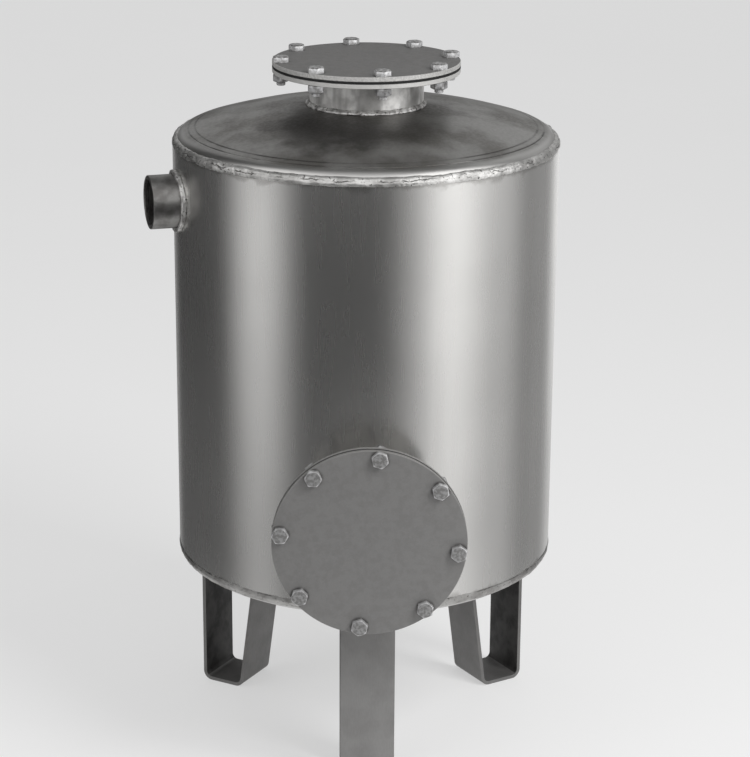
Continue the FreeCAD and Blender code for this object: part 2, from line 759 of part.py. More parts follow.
def make_lateral(number):
    """A tube of the star, saw cut across its underside, which is its body's +X side."""
    name = f"lateral_{number}"
    inner = "lateral_radius - lateral_wall"
    body = tube(name + "_body", inner, "lateral_radius", "0", "lateral_length")
    sketch = new_sketch(body, name + "_slot")
    end = "slot_start + slot_width"
    near, far = "slot_top", "lateral_diameter"
    draw_outline(sketch, [(near, "slot_start"), (far, "slot_start"), (far, end), (near, end)])
    slot = pocket(body, sketch, "2 * lateral_diameter", symmetric=True)
    repeat_along(body, slot, "slot_pitch * (slot_count - 1)", "slot_count")
    azimuth = f"360 / lateral_count * {number - 1}"
    finish_part(body, name, **radial(azimuth, "lateral_start", "lateral_height", "-90"))


def make_lateral_caps():
    """Plugs in the open ends of the star's tubes."""
    body = new_body("lateral_caps_body")
    sketch = new_sketch(body, "cap_outline")
    plug = "lateral_radius - lateral_wall - lateral_clearance"
    corners = [
        ("lateral_reach - cap_plug", "0"),
        ("lateral_reach - cap_plug", plug),
        ("lateral_reach", plug),
        ("lateral_reach", "lateral_radius"),
        ("lateral_reach + cap_rim", "lateral_radius"),
        ("lateral_reach + cap_rim", "0"),
    ]
    draw_outline(sketch, corners)
    repeat_round(body, [turn_about(body, sketch, "H_Axis")], "lateral_count")
    finish_part(body, "lateral_caps", z="lateral_height")


# Legs


def bent_bar(name, grow):
    """A flat bar bent to a U in the plane of X and Z, or the same with thicker limbs."""
    inner_foot = "leg_outer_reach - foot_length"
    drift = "lower_seam * tan(inner_limb_lean)"
    slant = "cos(inner_limb_lean)"
    outside, inside = f"leg_outer_reach + {grow}", f"leg_outer_reach - bar_thickness - {grow}"
    lean_outside = f"{inner_foot} - {grow} / {slant}"
    lean_inside = f"{inner_foot} + (bar_thickness + {grow}) / {slant}"
    corners = [
        (outside, "lower_seam"),
        (outside, "0"),
        (lean_outside, "0"),
        (f"{lean_outside} - {drift}", "lower_seam"),
        (f"{lean_inside} - {drift}", "lower_seam"),
        (f"{lean_inside} - bar_thickness * tan(inner_limb_lean)", "bar_thickness"),
        (inside, "bar_thickness"),
        (inside, "lower_seam"),
    ]
    body = new_body(name)
    sketch = new_sketch(body, name + "_outline")
    draw_outline(sketch, corners)
    pad(body, sketch, f"bar_width + 2 * {grow}", symmetric=True)
    return body, corners


def make_leg(side, azimuth, head):
    """A leg trimmed to the bottom head, and the beads round its two ends."""
    bar, corners = bent_bar(f"leg_{side}_bar", "0")
    round_edges(bar, f"leg_{side}_inner_bends", "bend_radius", corners[5:7], Y)
    outer_bend = "bend_radius + bar_thickness"
    round_edges(bar, f"leg_{side}_outer_bends", outer_bend, corners[1:3], Y)
    leg = cut(f"leg_{side}", bar, head)
    finish_part(leg, f"leg_{side}", yaw=azimuth)
    thick_bar, _ = bent_bar(f"leg_{side}_bead_bar", "leg_weld")
    layer = dish(f"leg_{side}_bead_layer", "0", "leg_weld", "socket_radius")
    locate(layer, z="lower_rim", roll="180")
    room = cylinder(f"leg_{side}_bead_room", "bead_foot - weld_gap", "lower_seam")
    round_layer = boolean("Part::Common", f"leg_{side}_round_layer", layer, room)
    beads = boolean("Part::Common", f"leg_{side}_beads", thick_bar, round_layer)
    finish_part(cut(f"leg_{side}_weld", beads, bar), f"leg_{side}_weld", yaw=azimuth)


def make_legs():
    """Three equal legs, the first of them in front."""
    head = filled_dish("head_space")
    for number, side in enumerate(LEG_SIDES):
        make_leg(side, f"-90 + {number} * 360 / {len(LEG_SIDES)}", head)


# The whole vessel


def check_document():
    """Stop if any object failed, or if a sub-part is empty or not valid."""
    doc.recompute()
    failed = [item.Name for item in doc.Objects if {"Invalid", "Error"} & set(item.State)]
    broken = [item.Label for item in parts if item.Shape.isNull() or not item.Shape.isValid()]
    hollow = [item.Label for item in parts if not item.Shape.Solids]
    if failed or broken or hollow:
        raise RuntimeError(f"failed {failed}, not valid {broken}, without a solid {hollow}")


def check_cuts():
    """Stop if a pocket or groove took nothing away."""
    for item in doc.Objects:
        if item.TypeId in ("PartDesign::Pocket", "PartDesign::Groove"):
            if item.BaseFeature.Shape.Volume - item.Shape.Volume < MATCH:
                raise RuntimeError(f"{item.Name} cuts nothing")


def write_parts():
    """Write each sub-part's solids to a file of its own."""
    os.makedirs("parts", exist_ok=True)
    for item in parts:
        item.Shape.exportStep(f"parts/{item.Label}.step")
        box = item.Shape.BoundBox
        solids, volume = len(item.Shape.Solids), item.Shape.Volume / 1000
        print(f"{item.Label:18} {solids:2} solids {volume:9.2f} cm3  z {box.ZMin:7.1f} to {box.ZMax:7.1f}")


def main():
    """Build every sub-part, check them and write them out."""
    fill_sheet()
    make_heads()
    make_shell()
    make_seam_beads()
    make_necks()
    make_closure("top", on_top, "top_bolt_turn")
    make_closure("front", in_front, "front_bolt_turn")
    make_sockets()
    make_baffle()
    make_riser()
    make_hub()
    for number in range(1, round(value("lateral_count")) + 1):
        make_lateral(number)
    make_lateral_caps()
    make_legs()
    check_document()
    check_cuts()
    write_parts()


main()
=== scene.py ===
"""Looks of the sand filter: an upright welded stainless vessel on three bent legs.

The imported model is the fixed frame. Plain CAD parts keep their shape and get their finish here, and the
weld beads, dished heads, sockets, fasteners and legs are replaced by pieces with the real ones' detail.
"""

import json
import logging
import math
from contextlib import contextmanager
from dataclasses import dataclass, field, replace
from enum import Enum
from typing import Any, Callable, Iterable, Iterator, Sequence

import bmesh
import bpy
from bpy.types import Material, NodeSocket, NodeTree, Object, World
from mathutils import Matrix, Vector

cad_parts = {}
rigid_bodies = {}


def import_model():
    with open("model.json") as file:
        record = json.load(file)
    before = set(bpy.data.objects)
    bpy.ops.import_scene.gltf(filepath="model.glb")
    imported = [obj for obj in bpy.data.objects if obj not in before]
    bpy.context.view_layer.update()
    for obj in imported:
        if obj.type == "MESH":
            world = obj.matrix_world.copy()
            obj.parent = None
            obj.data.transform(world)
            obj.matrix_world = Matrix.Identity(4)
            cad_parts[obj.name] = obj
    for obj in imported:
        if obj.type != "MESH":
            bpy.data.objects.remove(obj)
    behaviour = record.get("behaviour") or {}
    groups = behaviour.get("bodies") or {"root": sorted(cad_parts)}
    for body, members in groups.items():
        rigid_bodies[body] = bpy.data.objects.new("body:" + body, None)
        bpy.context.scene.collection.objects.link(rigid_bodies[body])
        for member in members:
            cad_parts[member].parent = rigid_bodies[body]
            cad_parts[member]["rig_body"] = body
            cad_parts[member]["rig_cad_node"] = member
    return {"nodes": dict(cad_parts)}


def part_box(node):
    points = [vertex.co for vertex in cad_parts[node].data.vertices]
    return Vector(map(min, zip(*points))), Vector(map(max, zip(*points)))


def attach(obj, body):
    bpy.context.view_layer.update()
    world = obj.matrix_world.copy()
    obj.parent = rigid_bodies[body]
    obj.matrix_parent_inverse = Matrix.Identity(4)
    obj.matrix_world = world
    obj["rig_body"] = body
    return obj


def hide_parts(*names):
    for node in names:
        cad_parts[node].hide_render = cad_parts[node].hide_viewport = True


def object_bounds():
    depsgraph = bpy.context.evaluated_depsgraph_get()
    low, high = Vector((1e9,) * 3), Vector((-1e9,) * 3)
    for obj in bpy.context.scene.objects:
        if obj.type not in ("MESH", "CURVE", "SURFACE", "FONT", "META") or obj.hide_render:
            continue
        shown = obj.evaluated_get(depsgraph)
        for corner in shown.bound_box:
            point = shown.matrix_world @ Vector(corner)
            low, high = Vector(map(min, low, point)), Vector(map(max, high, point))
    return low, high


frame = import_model()
CAD_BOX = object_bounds()

LOG = logging.getLogger("sand_filter")
MM = 0.001
Pair = tuple[float, float]
Triple = tuple[float, float, float]
Inputs = Sequence[Any] | dict[Any, Any]


def metres(sizes: Iterable[float]) -> tuple[float, ...]:
    """Turns sizes in mm into metres."""
    return tuple(size * MM for size in sizes)


# Working with meshes

# How near to each other points count as one, in metres.
CAD_MERGE = 0.01 * MM
TURNED_MERGE = 0.005 * MM
THREAD_MERGE = 0.002 * MM
CUT_MERGE = 0.001 * MM


def alone(piece: Object) -> None:
    """Makes a piece the only one selected, and the active one.

    Args:
        piece: the object.
    """
    bpy.ops.object.select_all(action="DESELECT")
    piece.select_set(True)
    bpy.context.view_layer.objects.active = piece


@contextmanager
def editing(piece: Object, elements: str, action: str = "SELECT") -> Iterator[bmesh.types.BMesh]:
    """Opens one piece in edit mode.

    Args:
        piece: the object to shape.
        elements: VERT or FACE, what is selected.
        action: SELECT to start with everything selected, DESELECT to start with nothing.

    Returns:
        The mesh being edited.
    """
    alone(piece)
    bpy.ops.object.mode_set(mode="EDIT")
    bpy.ops.mesh.select_mode(type=elements)
    bpy.ops.mesh.select_all(action=action)
    yield bmesh.from_edit_mesh(piece.data)
    bpy.ops.object.mode_set(mode="OBJECT")


def pick(mesh: bmesh.types.BMesh, wanted: Callable[[bmesh.types.BMFace], bool]) -> None:
    """Selects the faces that a test wants.

    Args:
        mesh: the mesh being edited.
        wanted: the test, by place or normal.
    """
    for face in mesh.faces:
        if wanted(face):
            face.select_set(True)
    mesh.select_flush_mode()


def primitive(operator: Callable[..., Any], name: str, **sizes: Any) -> Object:
    """Adds a primitive by itself and names it.

    Args:
        operator: the operator that adds it.
        name: the new piece's name.
        sizes: the operator's settings.

    Returns:
        The new piece.
    """
    bpy.ops.object.select_all(action="DESELECT")
    operator(**sizes)
    piece = bpy.context.active_object
    piece.name = name
    piece.data.name = name
    return piece


def drawn(name: str, first: Vector, strides: Iterable[Vector]) -> Object:
    """Draws a line by extruding one point on, stride by stride.

    Args:
        name: the new piece's name.
        first: where the line begins.
        strides: from each corner to the next.

    Returns:
        The line.
    """
    line = primitive(bpy.ops.mesh.primitive_plane_add, name, size=MM, location=first)
    with editing(line, "VERT"):
        bpy.ops.mesh.merge(type="CENTER")
        for stride in strides:
            bpy.ops.mesh.extrude_region_move(TRANSFORM_OT_translate={"value": stride})
    return line


def modify(piece: Object, kind: str, **settings: Any) -> None:
    """Puts a modifier on a piece and applies it.

    Args:
        piece: the object.
        kind: the modifier's type.
        settings: the modifier's own settings.
    """
    alone(piece)
    modifier = piece.modifiers.new(kind.lower(), kind)
    for word, setting in settings.items():
        setattr(modifier, word, setting)
    bpy.ops.object.modifier_apply(modifier=modifier.name)


def swell(piece: Object, size: float, height: float, depth: int, middle: float = 0.5) -> None:
    """Swells and sinks a piece's skin in cloudy lumps.

    Args:
        piece: the object.
        size: size of a lump, in mm.
        height: from the deepest dip to the highest lump, in mm.
        depth: how many finer layers the lumps have.
        middle: the level of the cloud that stays in place.
    """
    cloud = bpy.data.textures.new(f"{piece.name}_{size:g}", "CLOUDS")
    cloud.noise_scale = size * MM
    cloud.noise_depth = depth
    modify(piece, "DISPLACE", texture=cloud, texture_coords="LOCAL", strength=height * MM, mid_level=middle)


def bevel(piece: Object, width: float, segments: int, angle: float) -> None:
    """Rounds the sharp edges of a piece.

    Args:
        piece: the object.
        width: of the rounding, in mm.
        segments: how many steps it has.
        angle: the angle, in degrees, from which an edge is sharp.
    """
    limit = math.radians(angle)
    modify(piece, "BEVEL", width=width * MM, segments=segments, limit_method="ANGLE", angle_limit=limit)


def cut_away(piece: Object, tool: Object, operation: str = "DIFFERENCE") -> None:
    """Cuts a piece with a tool, which is used up.

    Args:
        piece: what is cut.
        tool: the closed shape that cuts it.
        operation: DIFFERENCE or INTERSECT.
    """
    modify(piece, "BOOLEAN", object=tool, operation=operation, solver="EXACT")
    bpy.data.objects.remove(tool)


def settle(piece: Object, place: Matrix | None = None) -> None:
    """Moves a piece to its place and puts that place into its mesh.

    Args:
        piece: the object.
        place: the matrix that takes it there, or nothing where it is there already.
    """
    if place is not None:
        piece.matrix_world = place @ piece.matrix_world
    alone(piece)
    bpy.ops.object.transform_apply(location=True, rotation=True, scale=True)


def smooth(piece: Object, angle: float) -> None:
    """Shades a piece smooth, apart from its edges that are sharper than an angle in degrees."""
    alone(piece)
    bpy.ops.object.shade_smooth_by_angle(angle=math.radians(angle))


def copy_of(piece: Object, name: str) -> Object:
    """Copies a piece with a mesh of its own.

    Args:
        piece: what is copied.
        name: the copy's name.

    Returns:
        The copy, which rides on nothing yet.
    """
    copy = piece.copy()
    copy.data = piece.data.copy()
    copy.name = name
    copy.data.name = name
    copy.parent = None
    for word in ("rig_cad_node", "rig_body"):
        if word in copy:
            del copy[word]
    bpy.context.scene.collection.objects.link(copy)
    return copy


def merged_copy(node: str, name: str) -> Object:
    """Copies a CAD node and merges its loose triangles into one skin.

    Args:
        node: the CAD node.
        name: the copy's name.

    Returns:
        The copy.
    """
    copy = copy_of(frame["nodes"][node], name)
    copy.data.materials.clear()
    with editing(copy, "VERT"):
        bpy.ops.mesh.remove_doubles(threshold=CAD_MERGE)
    return copy


def turned(name: str, outline: Sequence[Pair], steps: int) -> Object:
    """Draws a closed outline and spins it round Z.

    Args:
        name: the new piece's name.
        outline: radius and height of each corner, in mm.
        steps: how many steps the full turn has.

    Returns:
        The closed, outward facing piece.
    """
    corners = [Vector((radius, 0.0, height)) * MM for radius, height in (*outline, outline[0])]
    piece = drawn(name, corners[0], [after - before for before, after in zip(corners, corners[1:])])
    with editing(piece, "VERT"):
        bpy.ops.mesh.remove_doubles(threshold=TURNED_MERGE)
        bpy.ops.mesh.select_all(action="SELECT")
        bpy.ops.mesh.spin(steps=steps, angle=math.tau, center=(0, 0, 0), axis=(0, 0, 1))
        bpy.ops.mesh.select_all(action="SELECT")
        bpy.ops.mesh.remove_doubles(threshold=TURNED_MERGE)
        bpy.ops.mesh.normals_make_consistent(inside=False)
    settle(piece)
    return piece


def threaded_rod(name: str, radius: float, pitch: float, depth: float, length: float, steps: int) -> Object:
    """Screws one tooth up round Z into a closed threaded rod that starts at height 0.

    Args:
        name: the rod's name.
        radius: over the crests, in mm.
        pitch: from one crest to the next, in mm.
        depth: of the thread, in mm.
        length: of the rod, in mm.
        steps: steps in each turn.

    Returns:
        The rod.
    """
    flank, crest, before, spare_turns = 0.42 * pitch, 0.16 * pitch, 1.5 * pitch, 3
    strides = [Vector((out, 0.0, rise)) * MM for out, rise in ((depth, flank), (0.0, crest), (-depth, flank))]
    rod = drawn(name, Vector((radius - depth, 0.0, -before)) * MM, strides)
    settle(rod)
    turns = math.ceil(length / pitch) + spare_turns
    modify(
        rod, "SCREW", axis="Z", angle=math.tau, screw_offset=pitch * MM, iterations=turns, steps=steps,
        render_steps=steps, use_merge_vertices=True, merge_threshold=THREAD_MERGE, use_normal_calculate=True,
    )
    with editing(rod, "VERT"):
        bpy.ops.mesh.remove_doubles(threshold=THREAD_MERGE)
        for height, above in ((0.0, False), (length, True)):
            level = {"plane_co": (0, 0, height * MM), "plane_no": (0, 0, 1)}
            bpy.ops.mesh.select_all(action="SELECT")
            bpy.ops.mesh.bisect(**level, use_fill=True, clear_outer=above, clear_inner=not above)
        bpy.ops.mesh.select_all(action="SELECT")
        bpy.ops.mesh.normals_make_consistent(inside=False)
    return rod


def hand_over(piece: Object, body: str, finish: "Finish", node: str) -> None:
    """Gives a new piece its finish and its body, and hides the CAD node that it replaces.

    Args:
        piece: the new piece, in place.
        body: the CAD body that it rides on.
        finish: what it is made of.
        node: the CAD node that it replaces.
    """
    piece.data.materials.clear()
    piece.data.materials.append(finish.material())
    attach(piece, body)
    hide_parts(node)
    LOG.info("%s: %d faces, on %s", piece.name, len(piece.data.polygons), body)


def dress(node: str, finish: "Finish") -> None:
    """Gives a CAD node its finish, in place of its plain colour.

    Args:
        node: the CAD node.
        finish: what it is made of.
    """
    part = frame["nodes"][node]
    if not part.material_slots:
        part.data.materials.append(None)
    for slot in part.material_slots:
        slot.link = "OBJECT"
        slot.material = finish.material()
    LOG.info("%s: keeps its CAD shape", node)


# Working with materials

WHITE = "#ffffff"
SMOOTH = {"interpolation_type": "SMOOTHSTEP"}


def colour(text: str) -> tuple[float, float, float, float]:
    """Turns an sRGB hex colour into the linear one that Blender works in.

    Args:
        text: six hex digits after a hash sign.

    Returns:
        Linear red, green, blue and an alpha of 1.
    """
    def linear(level: int) -> float:
        """Turns one level from 0 to 255 into a linear share."""
        share = level / 255
        return share / 12.92 if share <= 0.04045 else ((share + 0.055) / 1.055) ** 2.4

    return (*(linear(int(text[i : i + 2], 16)) for i in (1, 3, 5)), 1.0)


def add(
    tree: NodeTree, kind: str, inputs: Inputs = (), out: int | str = 0, **settings: Any
) -> NodeSocket | None:
    """Adds a node with its settings and links.

    Args:
        tree: the node tree.
        kind: the node's type, after the word ShaderNode.
        inputs: constants or the sockets that feed it, in order or in a dictionary by socket.
        out: which of its outputs is asked for.
        settings: the node's own settings.

    Returns:
        That output, or nothing where the node has none.
    """
    node = tree.nodes.new(f"ShaderNode{kind}")
    for word, setting in settings.items():
        setattr(node, word, setting)
    for socket, value in inputs.items() if isinstance(inputs, dict) else enumerate(inputs):
        if isinstance(value, NodeSocket):
            tree.links.new(value, node.inputs[socket])
        else:
            node.inputs[socket].default_value = value
    return node.outputs[out] if node.outputs else None


def emptied(holder: Material | World) -> NodeTree:
    """Turns a material or a world over to nodes.

    Args:
        holder: the material or world.

    Returns:
        Its node tree, with nothing in it.
    """
    holder.use_nodes = True
    holder.node_tree.nodes.clear()
    return holder.node_tree


def apart(tree: NodeTree, value: NodeSocket, level: float | NodeSocket) -> NodeSocket:
    """Works out how far a value is from a level, whichever is higher."""
    off = add(tree, "Math", (value, level), operation="SUBTRACT")
    return add(tree, "Math", (off,), operation="ABSOLUTE")


def seen_by(tree: NodeTree, *rays: str) -> NodeSocket:
    """Works out whether a surface is met by certain rays.

    Args:
        tree: the node tree.
        rays: the outputs of the light path that count.

    Returns:
        1 where one of them meets it, or else 0.
    """
    path = add(tree, "LightPath").node.outputs
    seen = path[rays[0]]
    for ray in rays[1:]:
        seen = add(tree, "Math", (seen, path[ray]), operation="MAXIMUM")
    return seen


@dataclass
class Look:
    """A material in the making: tree, the object's coordinates, and its colour, gloss and height so far."""

    tree: NodeTree
    place: NodeSocket
    colour: NodeSocket | Sequence[float]
    roughness: NodeSocket | None = None
    height: NodeSocket | None = None

    def paint(self, over: str, *shares: NodeSocket) -> None:
        """Lays a colour over what is there.

        Args:
            over: the colour, as sRGB hex.
            shares: how much of it shows, multiplied where there are two.
        """
        share, *others = shares
        for other in others:
            share = add(self.tree, "Math", (share, other), operation="MULTIPLY")
        # A mix of colours reads its share at socket 0 and its colours at 6 and 7, and gives its own at 2.
        self.colour = add(self.tree, "Mix", {0: share, 6: self.colour, 7: colour(over)}, 2, data_type="RGBA")

    def reach(self, middle: Sequence[float]) -> NodeSocket:
        """Works out how far each place lies from an upright axis.

        Args:
            middle: a point on the axis, in metres.

        Returns:
            The distance, in metres.
        """
        centred = add(self.tree, "VectorMath", (self.place, tuple(middle)), operation="SUBTRACT")
        flat = add(self.tree, "VectorMath", (centred, (1.0, 1.0, 0.0)), operation="MULTIPLY")
        return add(self.tree, "VectorMath", (flat,), "Value", operation="LENGTH")


@dataclass(frozen=True)
class Patches:
    """Cloudy patches of a real size in mm, whose levels from low to high are stretched from start to end."""

    size: float | Triple
    detail: float = 3.0
    low: float = 0.3
    high: float = 0.7
    start: float = 0.0
    end: float = 1.0

    def cloud(self, look: Look) -> NodeSocket:
        """Adds the patches as they come, unstretched.

        Args:
            look: the material that they belong to.

        Returns:
            A level around one half.
        """
        sizes = self.size if isinstance(self.size, tuple) else (self.size,) * 3
        scale = tuple(1 / (size * MM) for size in sizes)
        scaled = add(look.tree, "Mapping", {"Vector": look.place, "Scale": scale})
        return add(look.tree, "TexNoise", {"Vector": scaled, "Scale": 1.0, "Detail": self.detail}, "Fac")

    def stretched(self, look: Look) -> NodeSocket:
        """Adds the patches with their levels stretched."""
        levels = (self.cloud(look), self.low, self.high, self.start, self.end)
        return add(look.tree, "MapRange", levels, **SMOOTH)


@dataclass(frozen=True)
class Finish:
    """A surface whose colour, gloss and height vary from place to place.

    Sizes and heights are in mm. The grain is the finest pattern, the stains are wide and soft.
    """

    name: str
    clean: str
    stained: str
    metallic: float = 1.0
    roughness: float = 0.35
    roughness_swing: float = 0.05
    stain_size: float = 60.0
    stain_amount: float = 0.6
    stain_span: Pair = (0.38, 0.66)
    stain_detail: float = 4.0
    grain_size: float | Triple = 2.0
    grain_height: float = 0.02
    grain_span: Pair = (0.3, 0.7)
    dent_size: float = 120.0
    dent_height: float = 0.0
    dent_detail: float = 1.0

    def material(self) -> Material:
        """Makes the finish's material, once.

        Returns:
            The material.
        """
        made = bpy.data.materials.get(self.name)
        if made:
            return made
        made = bpy.data.materials.new(self.name)
        tree = emptied(made)
        look = Look(tree, add(tree, "TexCoord", (), "Object"), colour(self.clean))
        self.surface(look)
        self.marks(look)
        bump = add(tree, "Bump", {"Strength": 1.0, "Distance": MM, "Height": look.height})
        sockets = {"Base Color": look.colour, "Metallic": self.metallic, "Roughness": look.roughness}
        shader = add(tree, "BsdfPrincipled", {**sockets, "Normal": bump})
        add(tree, "OutputMaterial", {"Surface": self.shade(tree, shader)})
        return made

    def surface(self, look: Look) -> None:
        """Works out the stains, the grain and the dents.

        Args:
            look: the material in the making.
        """
        stains = Patches(self.stain_size, self.stain_detail, *self.stain_span, end=self.stain_amount)
        look.paint(self.stained, stains.stretched(look))
        grain = Patches(self.grain_size).cloud(look)
        gloss = (self.roughness - self.roughness_swing, self.roughness + self.roughness_swing)
        look.roughness = add(look.tree, "MapRange", (grain, *self.grain_span, *gloss), **SMOOTH)
        look.height = add(look.tree, "Math", (grain, self.grain_height), operation="MULTIPLY")
        if self.dent_height:
            dents = Patches(self.dent_size, self.dent_detail).cloud(look)
            heights = (dents, self.dent_height, look.height)
            look.height = add(look.tree, "Math", heights, operation="MULTIPLY_ADD")

    def marks(self, look: Look) -> None:
        """Adds what a finish alone has to the look; the plain finish has nothing more."""

    def shade(self, tree: NodeTree, surface: NodeSocket) -> NodeSocket:
        """Returns the surface as it is; a finish that shows otherwise to some rays says so here."""
        return surface


@dataclass(frozen=True)
class RolledShell(Finish):
    """Cold rolled stainless sheet with soft broad reflections and a heat tint along its seams."""

    seams: Pair = (253.0, 803.0)
    tint: str = "#6f6c68"
    tint_reach: Pair = (3.0, 8.0)
    tint_amount: float = 0.4
    tint_wander: Patches = Patches(25.0, start=0.6, end=1.6)

    def marks(self, look: Look) -> None:
        """Darkens the sheet next to the two round seams, where the welding heat has tinted it.

        Args:
            look: the material in the making.
        """
        height = add(look.tree, "SeparateXYZ", (look.place,), "Z")
        wander = self.tint_wander.stretched(look)
        for seam in self.seams:
            reach = apart(look.tree, height, seam * MM)
            reach = add(look.tree, "Math", (reach, wander), operation="MULTIPLY")
            levels = (reach, *metres(self.tint_reach), self.tint_amount, 0.0)
            look.paint(self.tint, add(look.tree, "MapRange", levels, **SMOOTH))


@dataclass(frozen=True)
class HeatZone:
    """A round zone painted darker: its middle from the head's axis and the radii between which it fades."""

    shift: Pair
    radii: Pair
    amount: float


@dataclass(frozen=True)
class PressedHead(Finish):
    """Pressed and spun stainless head: dull, blotchy, with the tool's rings and painted dark zones at the
    neck.
    """

    axis: Triple = (0.0, 0.0, 0.0)
    zones: tuple[HeatZone, ...] = ()
    zone_edges: Patches = Patches(45.0, 4.0, 0.35, 0.65, 0.75, 1.3)
    tint: str = "#4b4846"
    rings: tuple[float, ...] = (221.0, 229.5)
    ring_width: float = 2.6
    ring_amount: float = 0.6
    ring_breaks: Patches = Patches(45.0, 4.0, 0.38, 0.58, 0.2, 1.0)
    ring_dirt: str = "#2c2a29"
    rim: str = "#c8c7c5"
    rim_radii: Pair = (232.5, 239.5)
    rim_roughness: float = 0.28

    def marks(self, look: Look) -> None:
        """Adds the dark zones round the neck (heat tint, with painted reflection and shade in front of it),
        the brighter rim and the dark rings of the forming tool.

        Args:
            look: the material in the making.
        """
        tree = look.tree
        uneven = self.zone_edges.stretched(look)
        # The zones paint heat tint, and in front of the pipe painted reflection and shade.
        for zone in self.zones:
            middle = Vector(self.axis) + Vector((*zone.shift, 0.0)) * MM
            reach = add(tree, "Math", (look.reach(middle), uneven), operation="MULTIPLY")
            levels = (reach, *metres(zone.radii), zone.amount, 0.0)
            look.paint(self.tint, add(tree, "MapRange", levels, **SMOOTH))
        radius = look.reach(self.axis)
        rim = add(tree, "MapRange", (radius, *metres(self.rim_radii)), **SMOOTH)
        look.paint(self.rim, rim)
        change = add(tree, "Math", (self.rim_roughness, look.roughness), operation="SUBTRACT")
        look.roughness = add(tree, "Math", (rim, change, look.roughness), operation="MULTIPLY_ADD")
        broken = self.ring_breaks.stretched(look)
        for ring in self.rings:
            levels = (apart(tree, radius, ring * MM), 0.0, self.ring_width * MM, self.ring_amount, 0.0)
            look.paint(self.ring_dirt, add(tree, "MapRange", levels, **SMOOTH), broken)


@dataclass(frozen=True)
class WeldMetal(Finish):
    """Silvery weld metal, rough and rippled, with dark specks of slag."""

    slag: str = "#2b2927"
    specks: Patches = Patches(3.5, 3.0, 0.60, 0.70, 0.0, 0.85)
    ripples: Patches = Patches(2.2, 2.0)
    ripple_height: float = 0.5

    def marks(self, look: Look) -> None:
        """Adds the specks of slag, and coarse ripples in the height.

        Args:
            look: the material in the making.
        """
        look.paint(self.slag, self.specks.stretched(look))
        heights = (self.ripples.cloud(look), self.ripple_height, look.height)
        look.height = add(look.tree, "Math", heights, operation="MULTIPLY_ADD")


@dataclass(frozen=True)
class SeamMetal(WeldMetal):
    """Weld metal of a round seam, with the wandering dark line between two passes."""

    level: float = 805.8
    line: str = "#3a3836"
    line_width: float = 1.0
    line_core: float = 0.3
    line_amount: float = 0.9
    wander: float = 9.0
    bends: Patches = Patches(11.0)
    stretches: Patches = Patches(30.0, 2.0, 0.44, 0.58)

    def marks(self, look: Look) -> None:
        """Adds the line, broken into stretches.

        Args:
            look: the material in the making.
        """
        super().marks(look)
        tree = look.tree
        drift = add(tree, "Math", (self.bends.cloud(look), 0.5), operation="SUBTRACT")
        drift = add(tree, "Math", (drift, self.wander * MM, self.level * MM), operation="MULTIPLY_ADD")
        off = apart(tree, add(tree, "SeparateXYZ", (look.place,), "Z"), drift)
        levels = (off, self.line_core * self.line_width * MM, self.line_width * MM, self.line_amount, 0.0)
        look.paint(self.line, add(tree, "MapRange", levels, **SMOOTH), self.stretches.stretched(look))


@dataclass(frozen=True)
class DrawnPipe(Finish):
    """Bright pipe wall with dark streaks along it."""

    streak: str = "#6a6866"
    streaks: Patches = Patches((26.0, 26.0, 120.0), 3.0, 0.44, 0.60, 0.0, 0.6)

    def marks(self, look: Look) -> None:
        """Adds the streaks."""
        look.paint(self.streak, self.streaks.stretched(look))


@dataclass(frozen=True)
class CutPlate(Finish):
    """Plate cut to a round: painted shade round its bolts, and a rim of bright metal with the cutter's fine
    marks.
    """

    centre: Triple = (0.0, 0.0, 0.0)
    to_bolt: Triple = (1.0, 0.0, 0.0)
    aside: Triple = (0.0, 1.0, 0.0)
    bolt_circle: float = 222.0
    bolt_count: int = 8
    # The dark ring round each bolt is painted shade: the bolt head's shadow on the plate.
    grime: str = "#3f3d3b"
    grime_radii: Pair = (10.0, 14.0)
    grime_amount: float = 0.7
    grime_patches: Patches = Patches(9.0, 3.0, 0.35, 0.6, 0.35, 1.0)
    rim: str = "#c8c7c5"
    rim_radii: Pair = (120.2, 120.5)
    rim_marks: Patches = Patches(2.5, 2.0, 0.35, 0.65, 0.75, 1.0)

    def marks(self, look: Look) -> None:
        """Paints shade round the bolts, and brightens the rim.

        Args:
            look: the material in the making.
        """
        tree = look.tree
        centred = add(tree, "VectorMath", (look.place, self.centre), operation="SUBTRACT")
        x, y = (
            add(tree, "VectorMath", (centred, side), "Value", operation="DOT_PRODUCT")
            for side in (self.to_bolt, self.aside)
        )
        radius = add(tree, "VectorMath", (add(tree, "CombineXYZ", (x, y)),), "Value", operation="LENGTH")
        # The angle is folded onto the first bolt's share of the circle, so one bolt stands for all.
        share = math.pi / self.bolt_count
        angle = add(tree, "Math", (y, x), operation="ARCTAN2")
        angle = add(tree, "Math", (angle, share, -share), operation="WRAP")
        folded = [add(tree, "Math", (angle,), operation=name) for name in ("COSINE", "SINE")]
        way = add(tree, "CombineXYZ", folded)
        spot = add(tree, "VectorMath", {0: way, "Scale": radius}, operation="SCALE")
        bolt = (self.bolt_circle / 2 * MM, 0.0, 0.0)
        off = add(tree, "VectorMath", (spot, bolt), "Value", operation="DISTANCE")
        # Painted shade: a dark ring round each bolt, for the shadow of its head.
        levels = (off, *metres(self.grime_radii), self.grime_amount, 0.0)
        look.paint(self.grime, add(tree, "MapRange", levels, **SMOOTH), self.grime_patches.stretched(look))
        rim = add(tree, "MapRange", (radius, *metres(self.rim_radii)), **SMOOTH)
        look.paint(self.rim, rim, self.rim_marks.stretched(look))


